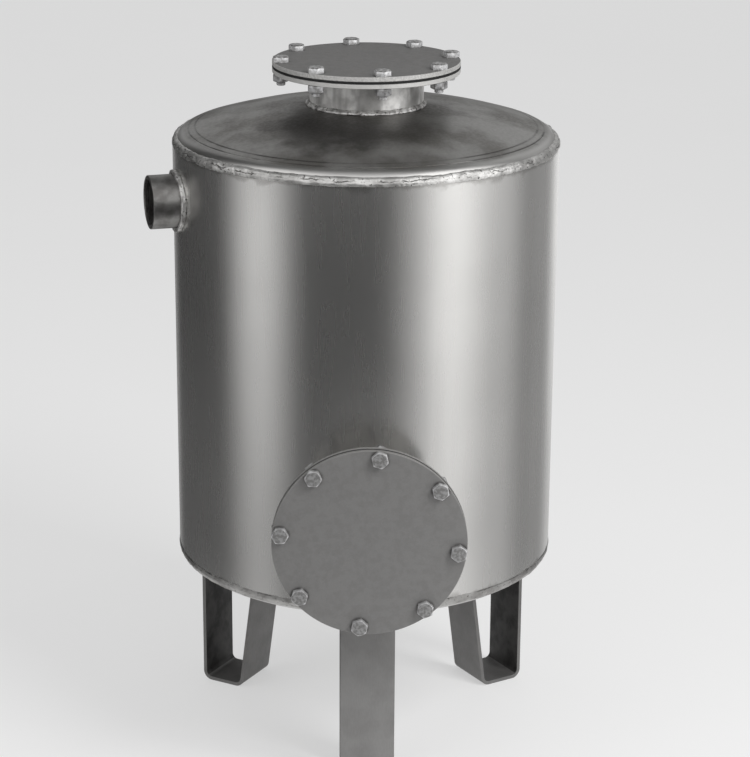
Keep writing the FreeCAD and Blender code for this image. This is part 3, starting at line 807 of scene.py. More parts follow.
@dataclass(frozen=True)
class BoltFace(Finish):
    """Plated bolt painted darker on its outer face and a little under it: painted shade."""

    face: Triple = (0.0, 0.0, 0.0)
    outwards: Triple = (0.0, 0.0, 1.0)
    depth: float = 0.2
    softness: float = 0.1
    dull: str = "#8b8a89"
    dull_patches: Patches = Patches(4.0, 3.0, 0.4, 0.6, 0.55, 1.0)

    def marks(self, look: Look) -> None:
        """Paints shade on what lies further out than a little under the face.

        Args:
            look: the material in the making.
        """
        beyond = add(look.tree, "VectorMath", (look.place, self.face), operation="SUBTRACT")
        beyond = add(look.tree, "VectorMath", (beyond, self.outwards), "Value", operation="DOT_PRODUCT")
        edge = metres((-self.depth - self.softness, -self.depth + self.softness))
        share = add(look.tree, "MapRange", (beyond, *edge), **SMOOTH)
        look.paint(self.dull, share, self.dull_patches.stretched(look))


@dataclass(frozen=True)
class StudioPaint(Finish):
    """Floor paint that shows paler to the camera and in reflections, and keeps the shadow."""

    glow: float = 0.97
    glow_share: float = 0.5

    def shade(self, tree: NodeTree, surface: NodeSocket) -> NodeSocket:
        """Mixes some plain white into what the camera and mirrors see.

        Args:
            tree: the material's node tree.
            surface: the paint.

        Returns:
            The mixed surface.
        """
        seen = seen_by(tree, "Is Camera Ray", "Is Glossy Ray")
        share = add(tree, "Math", (seen, self.glow_share), operation="MULTIPLY")
        white = add(tree, "Emission", {"Color": colour(WHITE), "Strength": self.glow})
        return add(tree, "MixShader", (share, surface, white))


# Finishes of this object's own pieces

# 2B stainless sheet, cold rolled: grey silver, broad soft reflections with a very fine lengthwise grain.
# The real grain is under 0.1 mm wide, too fine to show, so it is drawn 12 mm wide and hardly raised.
SHELL_SHEET = RolledShell(
    "cold_rolled_stainless_sheet", "#c8c7c5", "#bebdbb", metallic=0.93, roughness=0.27, roughness_swing=0.008,
    stain_size=160.0, stain_amount=0.5, grain_size=(12.0, 12.0, 120.0), grain_height=0.0003, dent_size=140.0,
    dent_height=0.12,
)
# Pressed and spun stainless: dull blotchy grey, slightly wavy, with the forming tool's rings.
HEAD_PRESSING = PressedHead(
    "pressed_stainless_head", "#aaa9a7", "#7b7975", roughness=0.42, roughness_swing=0.08, stain_size=70.0,
    stain_amount=0.9, grain_size=4.0, grain_height=0.03, dent_size=90.0, dent_height=0.35,
)
# Stainless beads, stick welded: bright, lumpy, with slag left in the valleys.
BEAD_METAL = WeldMetal(
    "stick_welded_stainless_bead", "#e6e5e3", "#858381", metallic=0.75, roughness=0.44, roughness_swing=0.1,
    stain_size=14.0, stain_amount=0.9, grain_size=1.5, grain_height=0.05,
)
# The upper round seam, welded in two passes: duller, with a dark line where the passes meet.
UPPER_SEAM_METAL = SeamMetal(
    "stick_welded_upper_seam", "#dad9d7", "#a9a8a6", roughness=0.46, roughness_swing=0.08, stain_size=16.0,
    stain_amount=0.8, grain_size=1.5, grain_height=0.04, level=806.8, line_width=0.9,
)
# The lower round seam: greyer, with a straighter and fainter line and less slag.
LOWER_SEAM_METAL = replace(
    UPPER_SEAM_METAL, name="stick_welded_lower_seam", clean="#bebdbb", stained="#908e8c", roughness=0.5,
    stain_size=22.0, level=257.2, line_width=1.3, line_amount=0.55, wander=2.5, slag="#5e5c5a",
)
# Drawn stainless pipe of the hand hole necks: silvery with dark handling streaks.
NECK_PIPE = DrawnPipe(
    "drawn_stainless_pipe", "#f4f3f1", "#b8b7b5", metallic=0.4, roughness=0.42, roughness_swing=0.06,
    stain_size=16.0, stain_amount=0.7, grain_size=(1.2, 1.2, 20.0),
)
# Stainless plate of rings and covers, pickled: an even matte grey, with a bright cut rim.
PICKLED_PLATE = CutPlate(
    "pickled_stainless_plate", "#dddcda", "#c2c1bf", metallic=0.5, roughness=0.6, stain_size=8.0,
    stain_amount=0.8, grain_size=1.6, grain_height=0.03,
)
# Black sheet rubber: dull, almost no reflection.
SHEET_RUBBER = Finish(
    "black_sheet_rubber", "#161616", "#232323", metallic=0.0, roughness=0.75, roughness_swing=0.08,
    stain_size=12.0, stain_amount=0.5, grain_size=0.8, grain_height=0.03,
)
# Zinc plated steel nuts: mid grey, soft metallic glints.
ZINC_PLATE = Finish(
    "zinc_plated_steel", "#bdbdbe", "#6f6e6d", metallic=0.7, roughness=0.36, roughness_swing=0.08,
    stain_size=6.0, stain_amount=0.8, grain_size=1.0, grain_height=0.03,
)
# The same plating on the bolts, in finer spots, with painted shade on their outer face.
PLATED_BOLT = BoltFace(
    "zinc_plated_bolt", "#d0d0d1", "#949392", metallic=0.5, roughness=0.36, roughness_swing=0.08,
    stain_size=4.0, stain_amount=0.7, grain_size=1.0, grain_height=0.05,
)
# Hot rolled flat bar: dark mill grey with lighter rubbed patches.
FLAT_BAR = Finish(
    "hot_rolled_flat_bar", "#979695", "#868584", metallic=0.6, roughness=0.56, roughness_swing=0.06,
    stain_size=45.0, grain_size=(1.6, 1.6, 8.0), grain_height=0.05,
)
# The two legs behind: the same bar, painted darker as painted shade.
REAR_BAR = replace(FLAT_BAR, name="darker_flat_bar", clean="#858483", stained="#757473")
# The same bar inside the bends, darker: its blue-black mill scale, and painted shade where the faces stand
# between the limbs.
SCALED_BAR = replace(
    FLAT_BAR, name="scaled_flat_bar", clean="#555453", stained="#2d2c2b", metallic=0.4, roughness=0.62,
    stain_size=28.0, stain_amount=0.9,
)
# Investment cast stainless socket: satin grey with a sandy skin.
CAST_SOCKET = Finish(
    "cast_stainless_socket", "#9a9997", "#716f6d", metallic=0.97, roughness=0.38, roughness_swing=0.07,
    stain_size=22.0, stain_amount=0.9, grain_size=1.3, grain_height=0.05,
)
# The same casting where its thread is cut: dark with old cutting oil.
OILY_THREAD = replace(
    CAST_SOCKET, name="oily_cut_thread", clean="#6f6d6b", stained="#454341", metallic=0.8, roughness=0.4,
    stain_size=12.0, stain_amount=0.8, grain_height=0.02,
)
# Plain stainless tube and block of the underdrain, left as turned.
PLAIN_STAINLESS = Finish(
    "plain_stainless_tube", "#c2c1bf", "#a3a2a0", roughness=0.34, stain_size=30.0, stain_amount=0.5,
    grain_size=1.2,
)
# Moulded polypropylene plugs in the laterals' ends: black, satin.
MOULDED_PLUG = Finish(
    "moulded_polypropylene", "#1c1c1d", "#262627", metallic=0.0, roughness=0.5, stain_size=10.0,
    stain_amount=0.4, grain_size=1.0,
)
# Painted studio floor: matte, pale, faintly mottled.
PALE_FLOOR = StudioPaint(
    "pale_studio_floor", "#efefef", "#ececec", metallic=0.0, roughness=0.9, roughness_swing=0.02,
    stain_size=900.0, stain_amount=0.5, grain_size=4.0, grain_height=0.0,
)


# The vessel's own places


@dataclass
class Tank:
    """Where the vessel's axis and levels are. Sizes are in mm."""

    lower_seam: float = 253.0
    upper_seam: float = 803.0
    axis: Vector = field(init=False)

    def __post_init__(self) -> None:
        """Takes the axis from the top cover, which stands square over it."""
        low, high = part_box("top_cover")
        self.axis = Vector(((low.x + high.x) / 2, (low.y + high.y) / 2, 0.0))

    def upright(self, height: float) -> Matrix:
        """Returns the place on the axis at a height in mm."""
        return Matrix.Translation(self.axis + Vector((0.0, 0.0, height * MM)))

    def upside_down(self, height: float) -> Matrix:
        """Returns the place on the axis at a height in mm, its Z downwards."""
        return self.upright(height) @ Matrix.Rotation(math.pi, 4, "X")

    def sideways(self, azimuth: float, reach: float, height: float) -> Matrix:
        """Works out a place whose Z points straight out of the shell.

        Args:
            azimuth: direction in degrees from +X.
            reach: distance from the axis, in mm.
            height: height above the floor, in mm.

        Returns:
            The matrix that takes a piece from the origin to there.
        """
        out = Matrix.Rotation(math.radians(azimuth), 4, "Z") @ Matrix.Rotation(math.pi / 2, 4, "Y")
        return self.upright(height) @ Matrix.Translation(out @ Vector((0.0, 0.0, reach * MM))) @ out


# The studio


@dataclass(frozen=True)
class SoftPanel:
    """A bright soft panel in the reflection tent, which fades out upwards or downwards.

    Its azimuth and widths are in degrees, the azimuth from the camera's and + to the right, and it rises from
    its foot's share of the light to all of it between two heights in mm.
    """

    azimuth: float
    half_width: float
    feather: float
    strength: float
    rise: Pair
    foot: float = 0.0

    def add_to(
        self, tree: NodeTree, azimuth: NodeSocket, height: NodeSocket, light: NodeSocket | float
    ) -> NodeSocket:
        """Adds the panel's light to what the wall gives so far.

        Args:
            tree: the wall's node tree.
            azimuth: direction of the place, from the camera's, in radians.
            height: height of the place, in metres.
            light: what the wall gives so far.

        Returns:
            The sum.
        """
        off = add(tree, "Math", (azimuth, math.radians(self.azimuth)), operation="SUBTRACT")
        off = add(tree, "Math", (off, math.pi, -math.pi), operation="WRAP")
        off = add(tree, "Math", (off,), operation="ABSOLUTE")
        edges = [math.radians(self.half_width + feather) for feather in (-self.feather, self.feather)]
        share = add(tree, "MapRange", (off, *edges, self.strength, 0.0), **SMOOTH)
        fade = add(tree, "MapRange", (height, *metres(self.rise), self.foot, 1.0), **SMOOTH)
        return add(tree, "Math", (share, fade, light), operation="MULTIPLY_ADD")


@dataclass(frozen=True)
class Lamp:
    """A wide soft lamp that reflections don't see. Place and size are in metres, power in watts."""

    name: str
    place: Triple
    size: float
    power: float

    def hang(self, aim: Vector) -> None:
        """Hangs the lamp.

        Args:
            aim: where it points.
        """
        data = bpy.data.lights.new(self.name, "AREA")
        data.size = self.size
        data.energy = self.power
        lamp = bpy.data.objects.new(self.name, data)
        bpy.context.scene.collection.objects.link(lamp)
        turn = (aim - Vector(self.place)).to_track_quat("-Z", "Y").to_matrix().to_4x4()
        lamp.matrix_world = Matrix.Translation(self.place) @ turn
        lamp.visible_glossy = False


# Heights in mm between which the panels, dimmer at the floor, reach their full light.
PANEL_RISE = (120.0, 680.0)


@dataclass
class Studio:
    """Camera, floor, soft light and the tent that the bare metal mirrors. Sizes are in mm."""

    tank: Tank
    camera_offset: Pair = (-68.6, -3144.3)
    camera_height: float = 1502.2
    yaw: float = 1.495
    pitch: float = 18.04
    roll: float = 0.358
    focal_length_pixels: float = 2477.9
    photo_height_pixels: float = 757.0
    view_depth: float = 60000.0
    floor_radius: float = 30000.0
    floor_rim: float = 4000.0
    floor_drop: float = 0.2
    tent_radius: float = 620.0
    tent_height: float = 1750.0
    tent_gap: float = 2.0
    panels: tuple[SoftPanel, ...] = (
        SoftPanel(-53.0, 13.5, 12.5, 0.92, PANEL_RISE, 0.50),
        SoftPanel(38.0, 16.0, 16.0, 0.90, PANEL_RISE, 0.62),
        SoftPanel(59.0, 25.0, 12.0, 0.64, PANEL_RISE, 0.76),
        SoftPanel(105.0, 14.0, 14.0, 0.30, PANEL_RISE, 0.85),
        SoftPanel(139.0, 16.0, 12.0, 1.10, PANEL_RISE, 0.60),
        SoftPanel(-141.0, 6.0, 8.0, 0.5, PANEL_RISE, 0.85),
    )
    panel_tops: Pair = (720.0, 840.0)
    light_above: float = 0.10
    awning: SoftPanel = SoftPanel(2.0, 79.0, 15.0, 1.0, (790.0, 900.0))
    backdrop: SoftPanel = SoftPanel(165.0, 67.5, 15.0, 0.40, (780.0, 1000.0))
    bounce: SoftPanel = SoftPanel(8.0, 24.0, 15.0, 0.13, (480.0, 300.0))
    side_light: SoftPanel = SoftPanel(52.0, 24.0, 15.0, 0.65, (700.0, 800.0))
    curtain_heights: Pair = (250.0, 500.0)
    curtain_lights: Pair = (0.10, 0.06)
    ceiling_depths: Pair = (-500.0, 100.0)
    ceiling_lights: Pair = (0.6, 0.15)
    lamps: tuple[Lamp, ...] = (
        Lamp("lamp_right", (1.7, -1.6, 2.3), 1.2, 56.0),
        Lamp("lamp_left", (-1.9, -1.2, 2.0), 1.6, 9.0),
    )
    lamp_aim: float = 400.0
    world_light: float = 0.45
    world_seen: float = 0.7

    def build(self) -> None:
        """Sets up the whole studio."""
        self.place_camera()
        self.lay_floor()
        self.hang_tent()
        for lamp in self.lamps:
            lamp.hang(Vector((0.0, 0.0, self.lamp_aim * MM)))
        self.light_world()

    def place_camera(self) -> None:
        """Puts the camera where the photograph was taken from."""
        yaw, pitch, roll = (math.radians(angle) for angle in (self.yaw, self.pitch, self.roll))
        forward = Vector((math.sin(yaw) * math.cos(pitch), math.cos(yaw) * math.cos(pitch), -math.sin(pitch)))
        level = Vector((math.cos(yaw), -math.sin(yaw), 0.0))
        above = level.cross(forward)
        right = level * math.cos(roll) + above * math.sin(roll)
        up = above * math.cos(roll) - level * math.sin(roll)
        data = bpy.data.cameras.new("camera")
        data.lens = self.focal_length_pixels * data.sensor_width / self.photo_height_pixels
        data.clip_end = self.view_depth * MM
        camera = bpy.data.objects.new("camera", data)
        bpy.context.scene.collection.objects.link(camera)
        turn = Matrix((right, up, -forward)).transposed().to_4x4()
        stand = self.tank.axis + Vector((*self.camera_offset, self.camera_height)) * MM
        camera.matrix_world = Matrix.Translation(stand) @ turn
        bpy.context.scene.camera = camera

    def lay_floor(self) -> None:
        """Lays a wide round pale floor."""
        floor = primitive(
            bpy.ops.mesh.primitive_circle_add, "studio_floor", vertices=96, radius=self.floor_radius * MM,
            fill_type="NGON", location=(0, 0, -self.floor_drop * MM),
        )
        with editing(floor, "FACE"):
            bpy.ops.mesh.inset(thickness=self.floor_rim * MM)
        floor.data.materials.append(PALE_FLOOR.material())

    def tent_light(self, name: str, strength_of: Callable[[NodeTree, NodeSocket], NodeSocket]) -> Material:
        """Makes a glowing cloth for the tent.

        Args:
            name: the material's name.
            strength_of: works out its strength from the object's coordinates.

        Returns:
            The material, which lights nothing by itself and only shows in reflections.
        """
        cloth = bpy.data.materials.new(name)
        tree = emptied(cloth)
        strength = strength_of(tree, add(tree, "TexCoord", (), "Object"))
        glow = add(tree, "Emission", {"Color": colour(WHITE), "Strength": strength})
        add(tree, "OutputMaterial", {"Surface": glow})
        cloth.cycles.emission_sampling = "NONE"
        return cloth

    def wall_strength(self, tree: NodeTree, place: NodeSocket) -> NodeSocket:
        """Works out the wall's glow: a dark curtain with soft panels, which fade towards the floor.

        Args:
            tree: the cloth's node tree.
            place: the wall's coordinates.

        Returns:
            The strength.
        """
        centred = add(tree, "VectorMath", (place, tuple(self.tank.axis)), operation="SUBTRACT")
        x, y, height = add(tree, "SeparateXYZ", (centred,)).node.outputs
        forwards = add(tree, "Math", (y, -1.0), operation="MULTIPLY")
        azimuth = add(tree, "Math", (x, forwards), operation="ARCTAN2")
        camera = math.atan2(self.camera_offset[0], -self.camera_offset[1])
        azimuth = add(tree, "Math", (azimuth, camera), operation="SUBTRACT")
        light: NodeSocket | float = 0.0
        for panel in self.panels:
            light = panel.add_to(tree, azimuth, height, light)
        above = add(tree, "MapRange", (height, *metres(self.panel_tops), 1.0, self.light_above), **SMOOTH)
        light = add(tree, "Math", (light, above), operation="MULTIPLY")
        for panel in (self.awning, self.backdrop, self.bounce, self.side_light):
            light = panel.add_to(tree, azimuth, height, light)
        curtain = (height, *metres(self.curtain_heights), *self.curtain_lights)
        return add(tree, "Math", (light, add(tree, "MapRange", curtain, **SMOOTH)), operation="ADD")

    def ceiling_strength(self, tree: NodeTree, place: NodeSocket) -> NodeSocket:
        """Works out the ceiling's glow: dim, and brighter towards the front.

        Args:
            tree: the cloth's node tree.
            place: the ceiling's coordinates.

        Returns:
            The strength.
        """
        depth = add(tree, "SeparateXYZ", (place,), "Y")
        return add(tree, "MapRange", (depth, *metres(self.ceiling_depths), *self.ceiling_lights), **SMOOTH)

    def hang_tent(self) -> None:
        """Hangs the round wall and the ceiling that only reflections see."""
        radius, height, gap = metres((self.tent_radius, self.tent_height, self.tent_gap))
        wall = primitive(
            bpy.ops.mesh.primitive_cylinder_add, "studio_tent_wall", vertices=160, radius=radius,
            depth=height, end_fill_type="NOTHING", location=self.tank.axis + Vector((0, 0, height / 2 + gap)),
        )
        ceiling = primitive(
            bpy.ops.mesh.primitive_circle_add, "studio_tent_ceiling", vertices=96, radius=radius,
            fill_type="NGON", location=self.tank.axis + Vector((0, 0, height)),
        )
        for cloth, strength_of in ((wall, self.wall_strength), (ceiling, self.ceiling_strength)):
            settle(cloth)
            cloth.data.materials.append(self.tent_light(f"{cloth.name}_cloth", strength_of))
            for ray in ("camera", "diffuse", "shadow", "transmission", "volume_scatter"):
                setattr(cloth, f"visible_{ray}", False)

    def light_world(self) -> None:
        """Lights the world, paler to camera and mirrors than to the pieces, and sets the view transform."""
        world = bpy.data.worlds.new("studio_world")
        bpy.context.scene.world = world
        tree = emptied(world)
        seen = seen_by(tree, "Is Camera Ray", "Is Glossy Ray", "Is Transmission Ray")
        levels = {"Value": seen, "To Min": self.world_light, "To Max": self.world_seen}
        strength = add(tree, "MapRange", levels)
        glow = add(tree, "Background", {"Color": colour(WHITE), "Strength": strength})
        add(tree, "OutputWorld", {"Surface": glow})
        bpy.context.scene.view_settings.view_transform = "Standard"


# Weld beads


@dataclass
class WeldBead:
    """A weld bead, swollen into lumps from its CAD solid. Sizes are in mm."""

    node: str
    lump_size: float = 9.0
    lump_height: float = 1.4
    pit_size: float = 3.0
    pit_height: float = 0.7
    run_size: float = 40.0
    run_height: float = 0.0
    middle: float = 0.42
    grain: float = 1.0
    metal: Finish = BEAD_METAL
    room: Matrix | None = None
    room_radius: float = 0.0
    room_length: float = 160.0

    def bead(self) -> Object:
        """Makes the even bead: the CAD one, slimmed to the round room where one is given, in fine faces.

        Returns:
            The bead.
        """
        bead = merged_copy(self.node, f"{self.node}_lumpy")
        if self.room is not None:
            room = primitive(
                bpy.ops.mesh.primitive_cylinder_add, "room", vertices=96, radius=self.room_radius * MM,
                depth=self.room_length * MM,
            )
            settle(room, self.room)
            cut_away(bead, room, "INTERSECT")
        modify(bead, "REMESH", mode="VOXEL", voxel_size=self.grain * MM)
        return bead

    def build(self) -> None:
        """Builds the bead, trims what swells out of the vessel's box, and hands it over."""
        bead = self.bead()
        runs, lumps = (self.run_size, self.run_height), (self.lump_size, self.lump_height)
        for depth, (size, height) in enumerate((runs, lumps, (self.pit_size, self.pit_height))):
            if height:
                swell(bead, size, height, depth, self.middle)
        with editing(bead, "VERT"):
            for side in ((1, 0, 0), (0, 1, 0)):
                cut = {"plane_co": CAD_BOX[1], "plane_no": side, "threshold": CUT_MERGE}
                bpy.ops.mesh.select_all(action="SELECT")
                bpy.ops.mesh.bisect(**cut, use_fill=True, clear_outer=True)
        alone(bead)
        bpy.ops.object.shade_smooth()
        hand_over(bead, "vessel", self.metal, self.node)


@dataclass
class SeamBead(WeldBead):
    """The bead of a round seam, spun in two passes that lap onto the shell. Sizes are in mm."""

    metal: Finish = UPPER_SEAM_METAL
    place: Matrix = field(default_factory=Matrix)
    toe: float = 2.4
    shell_radius: float = 250.0
    turn_steps: int = 720

    def bead(self) -> Object:
        """Spins the two passes; heights run away from the shell.

        Returns:
            The bead.
        """
        toe = -self.toe
        passes = (
            (-1.5, toe - 0.3), (0.0, toe), (0.3, toe + 0.6), (0.5, 1.0 + toe / 2), (0.4, 1.4),
            (-0.2, 2.8), (-0.8, 3.4), (-1.1, 4.4), (-1.8, 5.8), (-3.0, 6.9), (-4.6, 7.8), (-6.2, 8.3),
            (-7.2, 7.6), (-4.0, 3.0),
        )
        corners = [(self.shell_radius + out, height) for out, height in passes]
        bead = turned(f"{self.node}_lumpy", corners, self.turn_steps)
        modify(bead, "SUBSURF", levels=1, render_levels=1)
        settle(bead, self.place)
        return bead


# Heads


@dataclass
class DishedHead:
    """A dished head, spun to its outline, with the forming tool's fine steps. Sizes are in mm."""

    node: str
    place: Matrix
    hole_radius: float
    wall: float = 3.0
    radius: float = 246.9
    crown_radius: float = 770.0
    crown_steps: int = 44
    knuckle_radius: float = 20.0
    knuckle_steps: int = 12
    skirt: float = 10.0
    ring_radii: tuple[float, ...] = (221.0, 229.5)
    ring_half_width: float = 1.2
    ring_depth: float = 0.5
    wave_size: float = 70.0
    wave_height: float = 0.5
    turn_steps: int = 240

    def skin(self, inset: float, fine: bool) -> list[Pair]:
        """Follows the head's outside, or its inside, from its skirt's end to the hole.

        Args:
            inset: how far inside the outer skin it runs, in mm.
            fine: whether the tool's rings show.

        Returns:
            Radius of each point, and its height above where the head turns straight.
        """
        knuckle_centre = self.radius - self.knuckle_radius
        centre = math.sqrt((self.crown_radius - self.knuckle_radius) ** 2 - knuckle_centre**2)
        join = math.atan2(knuckle_centre, centre)
        knuckle = self.knuckle_radius - inset
        points = [(self.radius - inset, -self.skirt)]
        for step in range(self.knuckle_steps + 1):
            lean = step / self.knuckle_steps * (math.pi / 2 - join)
            points.append((knuckle_centre + knuckle * math.cos(lean), knuckle * math.sin(lean)))
        crown = self.crown_radius - inset
        end = math.asin(self.hole_radius / crown)
        leans = (join + (end - join) * step / self.crown_steps for step in range(1, self.crown_steps + 1))
        radii = [crown * math.sin(lean) for lean in leans]
        if fine:
            for ring in self.ring_radii:
                radii += [ring - self.ring_half_width, ring, ring + self.ring_half_width]
            radii.sort(reverse=True)
        for radius in radii:
            sunk = self.ring_depth if fine and radius in self.ring_radii else 0.0
            points.append((radius, math.sqrt(crown**2 - radius**2) - centre - sunk))
        return points

    def build(self, finish: Finish) -> None:
        """Builds the head and hands it over.

        Args:
            finish: what it is made of.
        """
        outline = self.skin(0.0, True) + self.skin(self.wall, False)[::-1]
        head = turned(f"{self.node}_spun", outline, self.turn_steps)
        swell(head, self.wave_size, self.wave_height, 1)
        settle(head, self.place)
        smooth(head, 40.0)
        hand_over(head, "vessel", finish, self.node)


# Sockets and fasteners


@dataclass
class PipeSocket:
    """A pipe socket with its two inch thread cut in. Sizes are in mm."""

    node: str
    place: Matrix
    radius: float = 34.5
    length: float = 47.0
    bore_radius: float = 28.33
    blank_inset: float = 3.0
    thread_pitch: float = 2.2
    thread_depth: float = 1.3
    thread_steps: int = 64
    tap_overshoot: float = 2.0
    mouth: float = 2.0
    rim_round: float = 1.0
    turn_steps: int = 96

    def build(self) -> None:
        """Builds the socket with its mouth at the place's far end."""
        rim, lip, top = self.rim_round, 0.3 * self.rim_round, self.length
        inside = self.bore_radius - self.blank_inset
        outline = [
            (inside, 0.0), (self.radius - rim, 0.0), (self.radius, rim), (self.radius, top - rim),
            (self.radius - lip, top - lip), (self.radius - rim, top), (self.bore_radius + self.mouth, top),
            (inside, top - self.mouth - self.blank_inset),
        ]
        socket = turned(f"{self.node}_threaded", outline, self.turn_steps)
        crest = self.bore_radius + self.thread_depth
        tap = (crest, self.thread_pitch, self.thread_depth, top + self.tap_overshoot, self.thread_steps)
        cut_away(socket, threaded_rod("thread_tap", *tap))
        bored = [math.hypot(*face.center.xy) < (crest + 0.1) * MM for face in socket.data.polygons]
        settle(socket, self.place)
        smooth(socket, 30.0)
        hand_over(socket, "vessel", CAST_SOCKET, self.node)
        socket.data.materials.append(OILY_THREAD.material())
        for face, threaded in zip(socket.data.polygons, bored):
            face.material_index = int(threaded)


@dataclass(frozen=True)
class HoleStyle:
    """What tells one hand hole from the other. Angles are in degrees, depths in mm."""

    word: str
    first_bolt: float
    bolt_turns: tuple[float, ...]
    nut_turns: tuple[float, ...]
    cover: tuple[str, str]
    rim: str
    # One plating for all bolts, painted lighter on the top bolts and darker on the front ones: painted light
    # and shade.
    plating: tuple[str, str]
    # Colour of the painted shade on the bolts' outer faces.
    bolt_face: str
    # How far down the bolts' sides the painted shade on their outer face reaches.
    dull_depth: float


class Side(Enum):
    """The two hand holes."""

    TOP = HoleStyle(
        word="top", first_bolt=-80.75, bolt_turns=(4, 21, 49, 12, 33, 57, 26, 41),
        nut_turns=(11, 38, 2, 52, 24, 45, 17, 30), cover=("#7a7978", "#737271"), rim="#cdccca",
        plating=("#e9e9ea", "#a9a8a7"), bolt_face="#6c6b6a", dull_depth=1.3,
    )
    FRONT = HoleStyle(
        word="front", first_bolt=173.7, bolt_turns=(18, 47, 6, 35, 55, 14, 28, 3),
        nut_turns=(9, 31, 50, 22, 40, 5, 36, 16), cover=("#929190", "#8b8a89"), rim="#979694",
        plating=("#d0d0d1", "#949392"), bolt_face="#8c8b8a", dull_depth=0.2,
    )


@dataclass
class Fasteners:
    """M12 hexagon bolts and nuts, each modelled once. Sizes are in mm."""

    flats: float = 19.0
    face: float = 17.5
    face_slope: float = 30.0
    head_height: float = 7.5
    edge_round: float = 0.25
    nut_height: float = 10.0
    nut_clearance: float = 0.05
    nut_mouth: float = 1.0
    nut_mouth_depth: float = 0.8
    shank: float = 12.0
    length: float = 30.0
    pitch: float = 1.75
    thread_depth: float = 0.9
    thread_length: float = 14.0
    tip_bevel: float = 1.2
    turn_steps: int = 28
    overlap: float = 0.1
    overshoot: float = 1.0
    bolt: Object = field(init=False)
    nut: Object = field(init=False)

    def hexagon(self, name: str, height: float, both: bool) -> Object:
        """Makes a hexagon with its corners bevelled by turning.

        Args:
            name: the piece's name.
            height: how high it is.
            both: whether its lower corners are bevelled too.

        Returns:
            The hexagon, standing on height 0, a corner towards +X.
        """
        corner = self.flats / math.sqrt(3)
        drop = (corner - self.face / 2) * math.tan(math.radians(self.face_slope))
        block = primitive(
            bpy.ops.mesh.primitive_cylinder_add, name, vertices=6, radius=corner * MM, depth=height * MM,
            location=(0, 0, height / 2 * MM),
        )
        with editing(block, "FACE", "DESELECT") as mesh:
            pick(mesh, lambda face: abs(face.normal.z) < 0.5)
            bpy.ops.transform.rotate(value=math.pi / 6, orient_axis="Z", center_override=(0, 0, 0))
        settle(block)
        outer = corner + self.overlap
        foot = [(self.face / 2, 0.0), (outer, drop)] if both else [(outer, 0.0)]
        outline = [(0.0, 0.0), *foot, (outer, height - drop), (self.face / 2, height), (0.0, height)]
        cut_away(block, turned("turning", outline, 72), "INTERSECT")
        bevel(block, self.edge_round, 2, 25.0)
        return block

    def build(self) -> None:
        """Models one bolt and one nut."""
        self.bolt = self.hexagon("bolt_model", self.head_height, False)
        self.add_shank()
        self.nut = self.hexagon("nut_model", self.nut_height, True)
        wide, narrow = self.shank / 2 + self.nut_mouth, self.shank / 2 + self.nut_clearance
        low, high, mouth = -self.overshoot, self.nut_height + self.overshoot, self.nut_mouth_depth
        walls = [(narrow, mouth), (narrow, self.nut_height - mouth)]
        bore = [(0.0, low), (wide, low), *walls, (wide, high), (0.0, high)]
        cut_away(self.nut, turned("bore", bore, 32))
        smooth(self.nut, 30.0)

    def add_shank(self) -> None:
        """Joins a threaded shank to the bolt, downwards from the head's underside on height 0."""
        plain, radius, over = self.length - self.thread_length, self.shank / 2, self.overshoot
        shank = primitive(
            bpy.ops.mesh.primitive_cylinder_add, "shank", vertices=32, radius=radius * MM,
            depth=(plain + over) * MM, location=(0, 0, (over - plain) / 2 * MM),
        )
        with editing(shank, "FACE", "DESELECT") as mesh:
            pick(mesh, lambda face: face.normal.z < -0.5)
            bpy.ops.mesh.inset(thickness=self.thread_depth * MM)
        settle(shank)
        rod = (radius, self.pitch, self.thread_depth, self.thread_length, self.turn_steps)
        thread = threaded_rod("thread", *rod)
        outer, end = radius + self.overlap, self.thread_length + over
        tip = [(0.0, 0.0), (outer - self.tip_bevel, 0.0), (outer, self.tip_bevel), (outer, end), (0.0, end)]
        cut_away(thread, turned("tip", tip, self.turn_steps), "INTERSECT")
        settle(thread, Matrix.Translation((0, 0, -self.length * MM)))
        alone(self.bolt)
        for part in (shank, thread):
            part.select_set(True)
        bpy.ops.object.join()
        smooth(self.bolt, 30.0)

    def lay_out(self, style: HoleStyle, finish: Finish, places: Sequence[Matrix], nut_drop: float) -> None:
        """Copies bolt and nut to each hole of one cover.

        Args:
            style: the hand hole's own word and turns.
            finish: what its bolts are made of.
            places: for each bolt, the cover's outer face at the hole, Z outwards.
            nut_drop: from the cover's outer face to the nut's far end.
        """
        under = Matrix.Translation((0, 0, -nut_drop * MM))
        for number, place in enumerate(places, 1):
            for word, model, face, turns, metal in (
                ("bolt", self.bolt, place, style.bolt_turns, finish),
                ("nut", self.nut, place @ under, style.nut_turns, ZINC_PLATE),
            ):
                piece = copy_of(model, f"{style.word}_{word}_{number}")
                settle(piece, face @ Matrix.Rotation(math.radians(turns[number - 1]), 4, "Z"))
                body = f"{style.word}_{'cover' if word == 'bolt' else 'nut'}_set"
                hand_over(piece, body, metal, f"{style.word}_{word}s")

    def clear(self) -> None:
        """Takes the two models away."""
        for model in (self.bolt, self.nut):
            bpy.data.objects.remove(model)


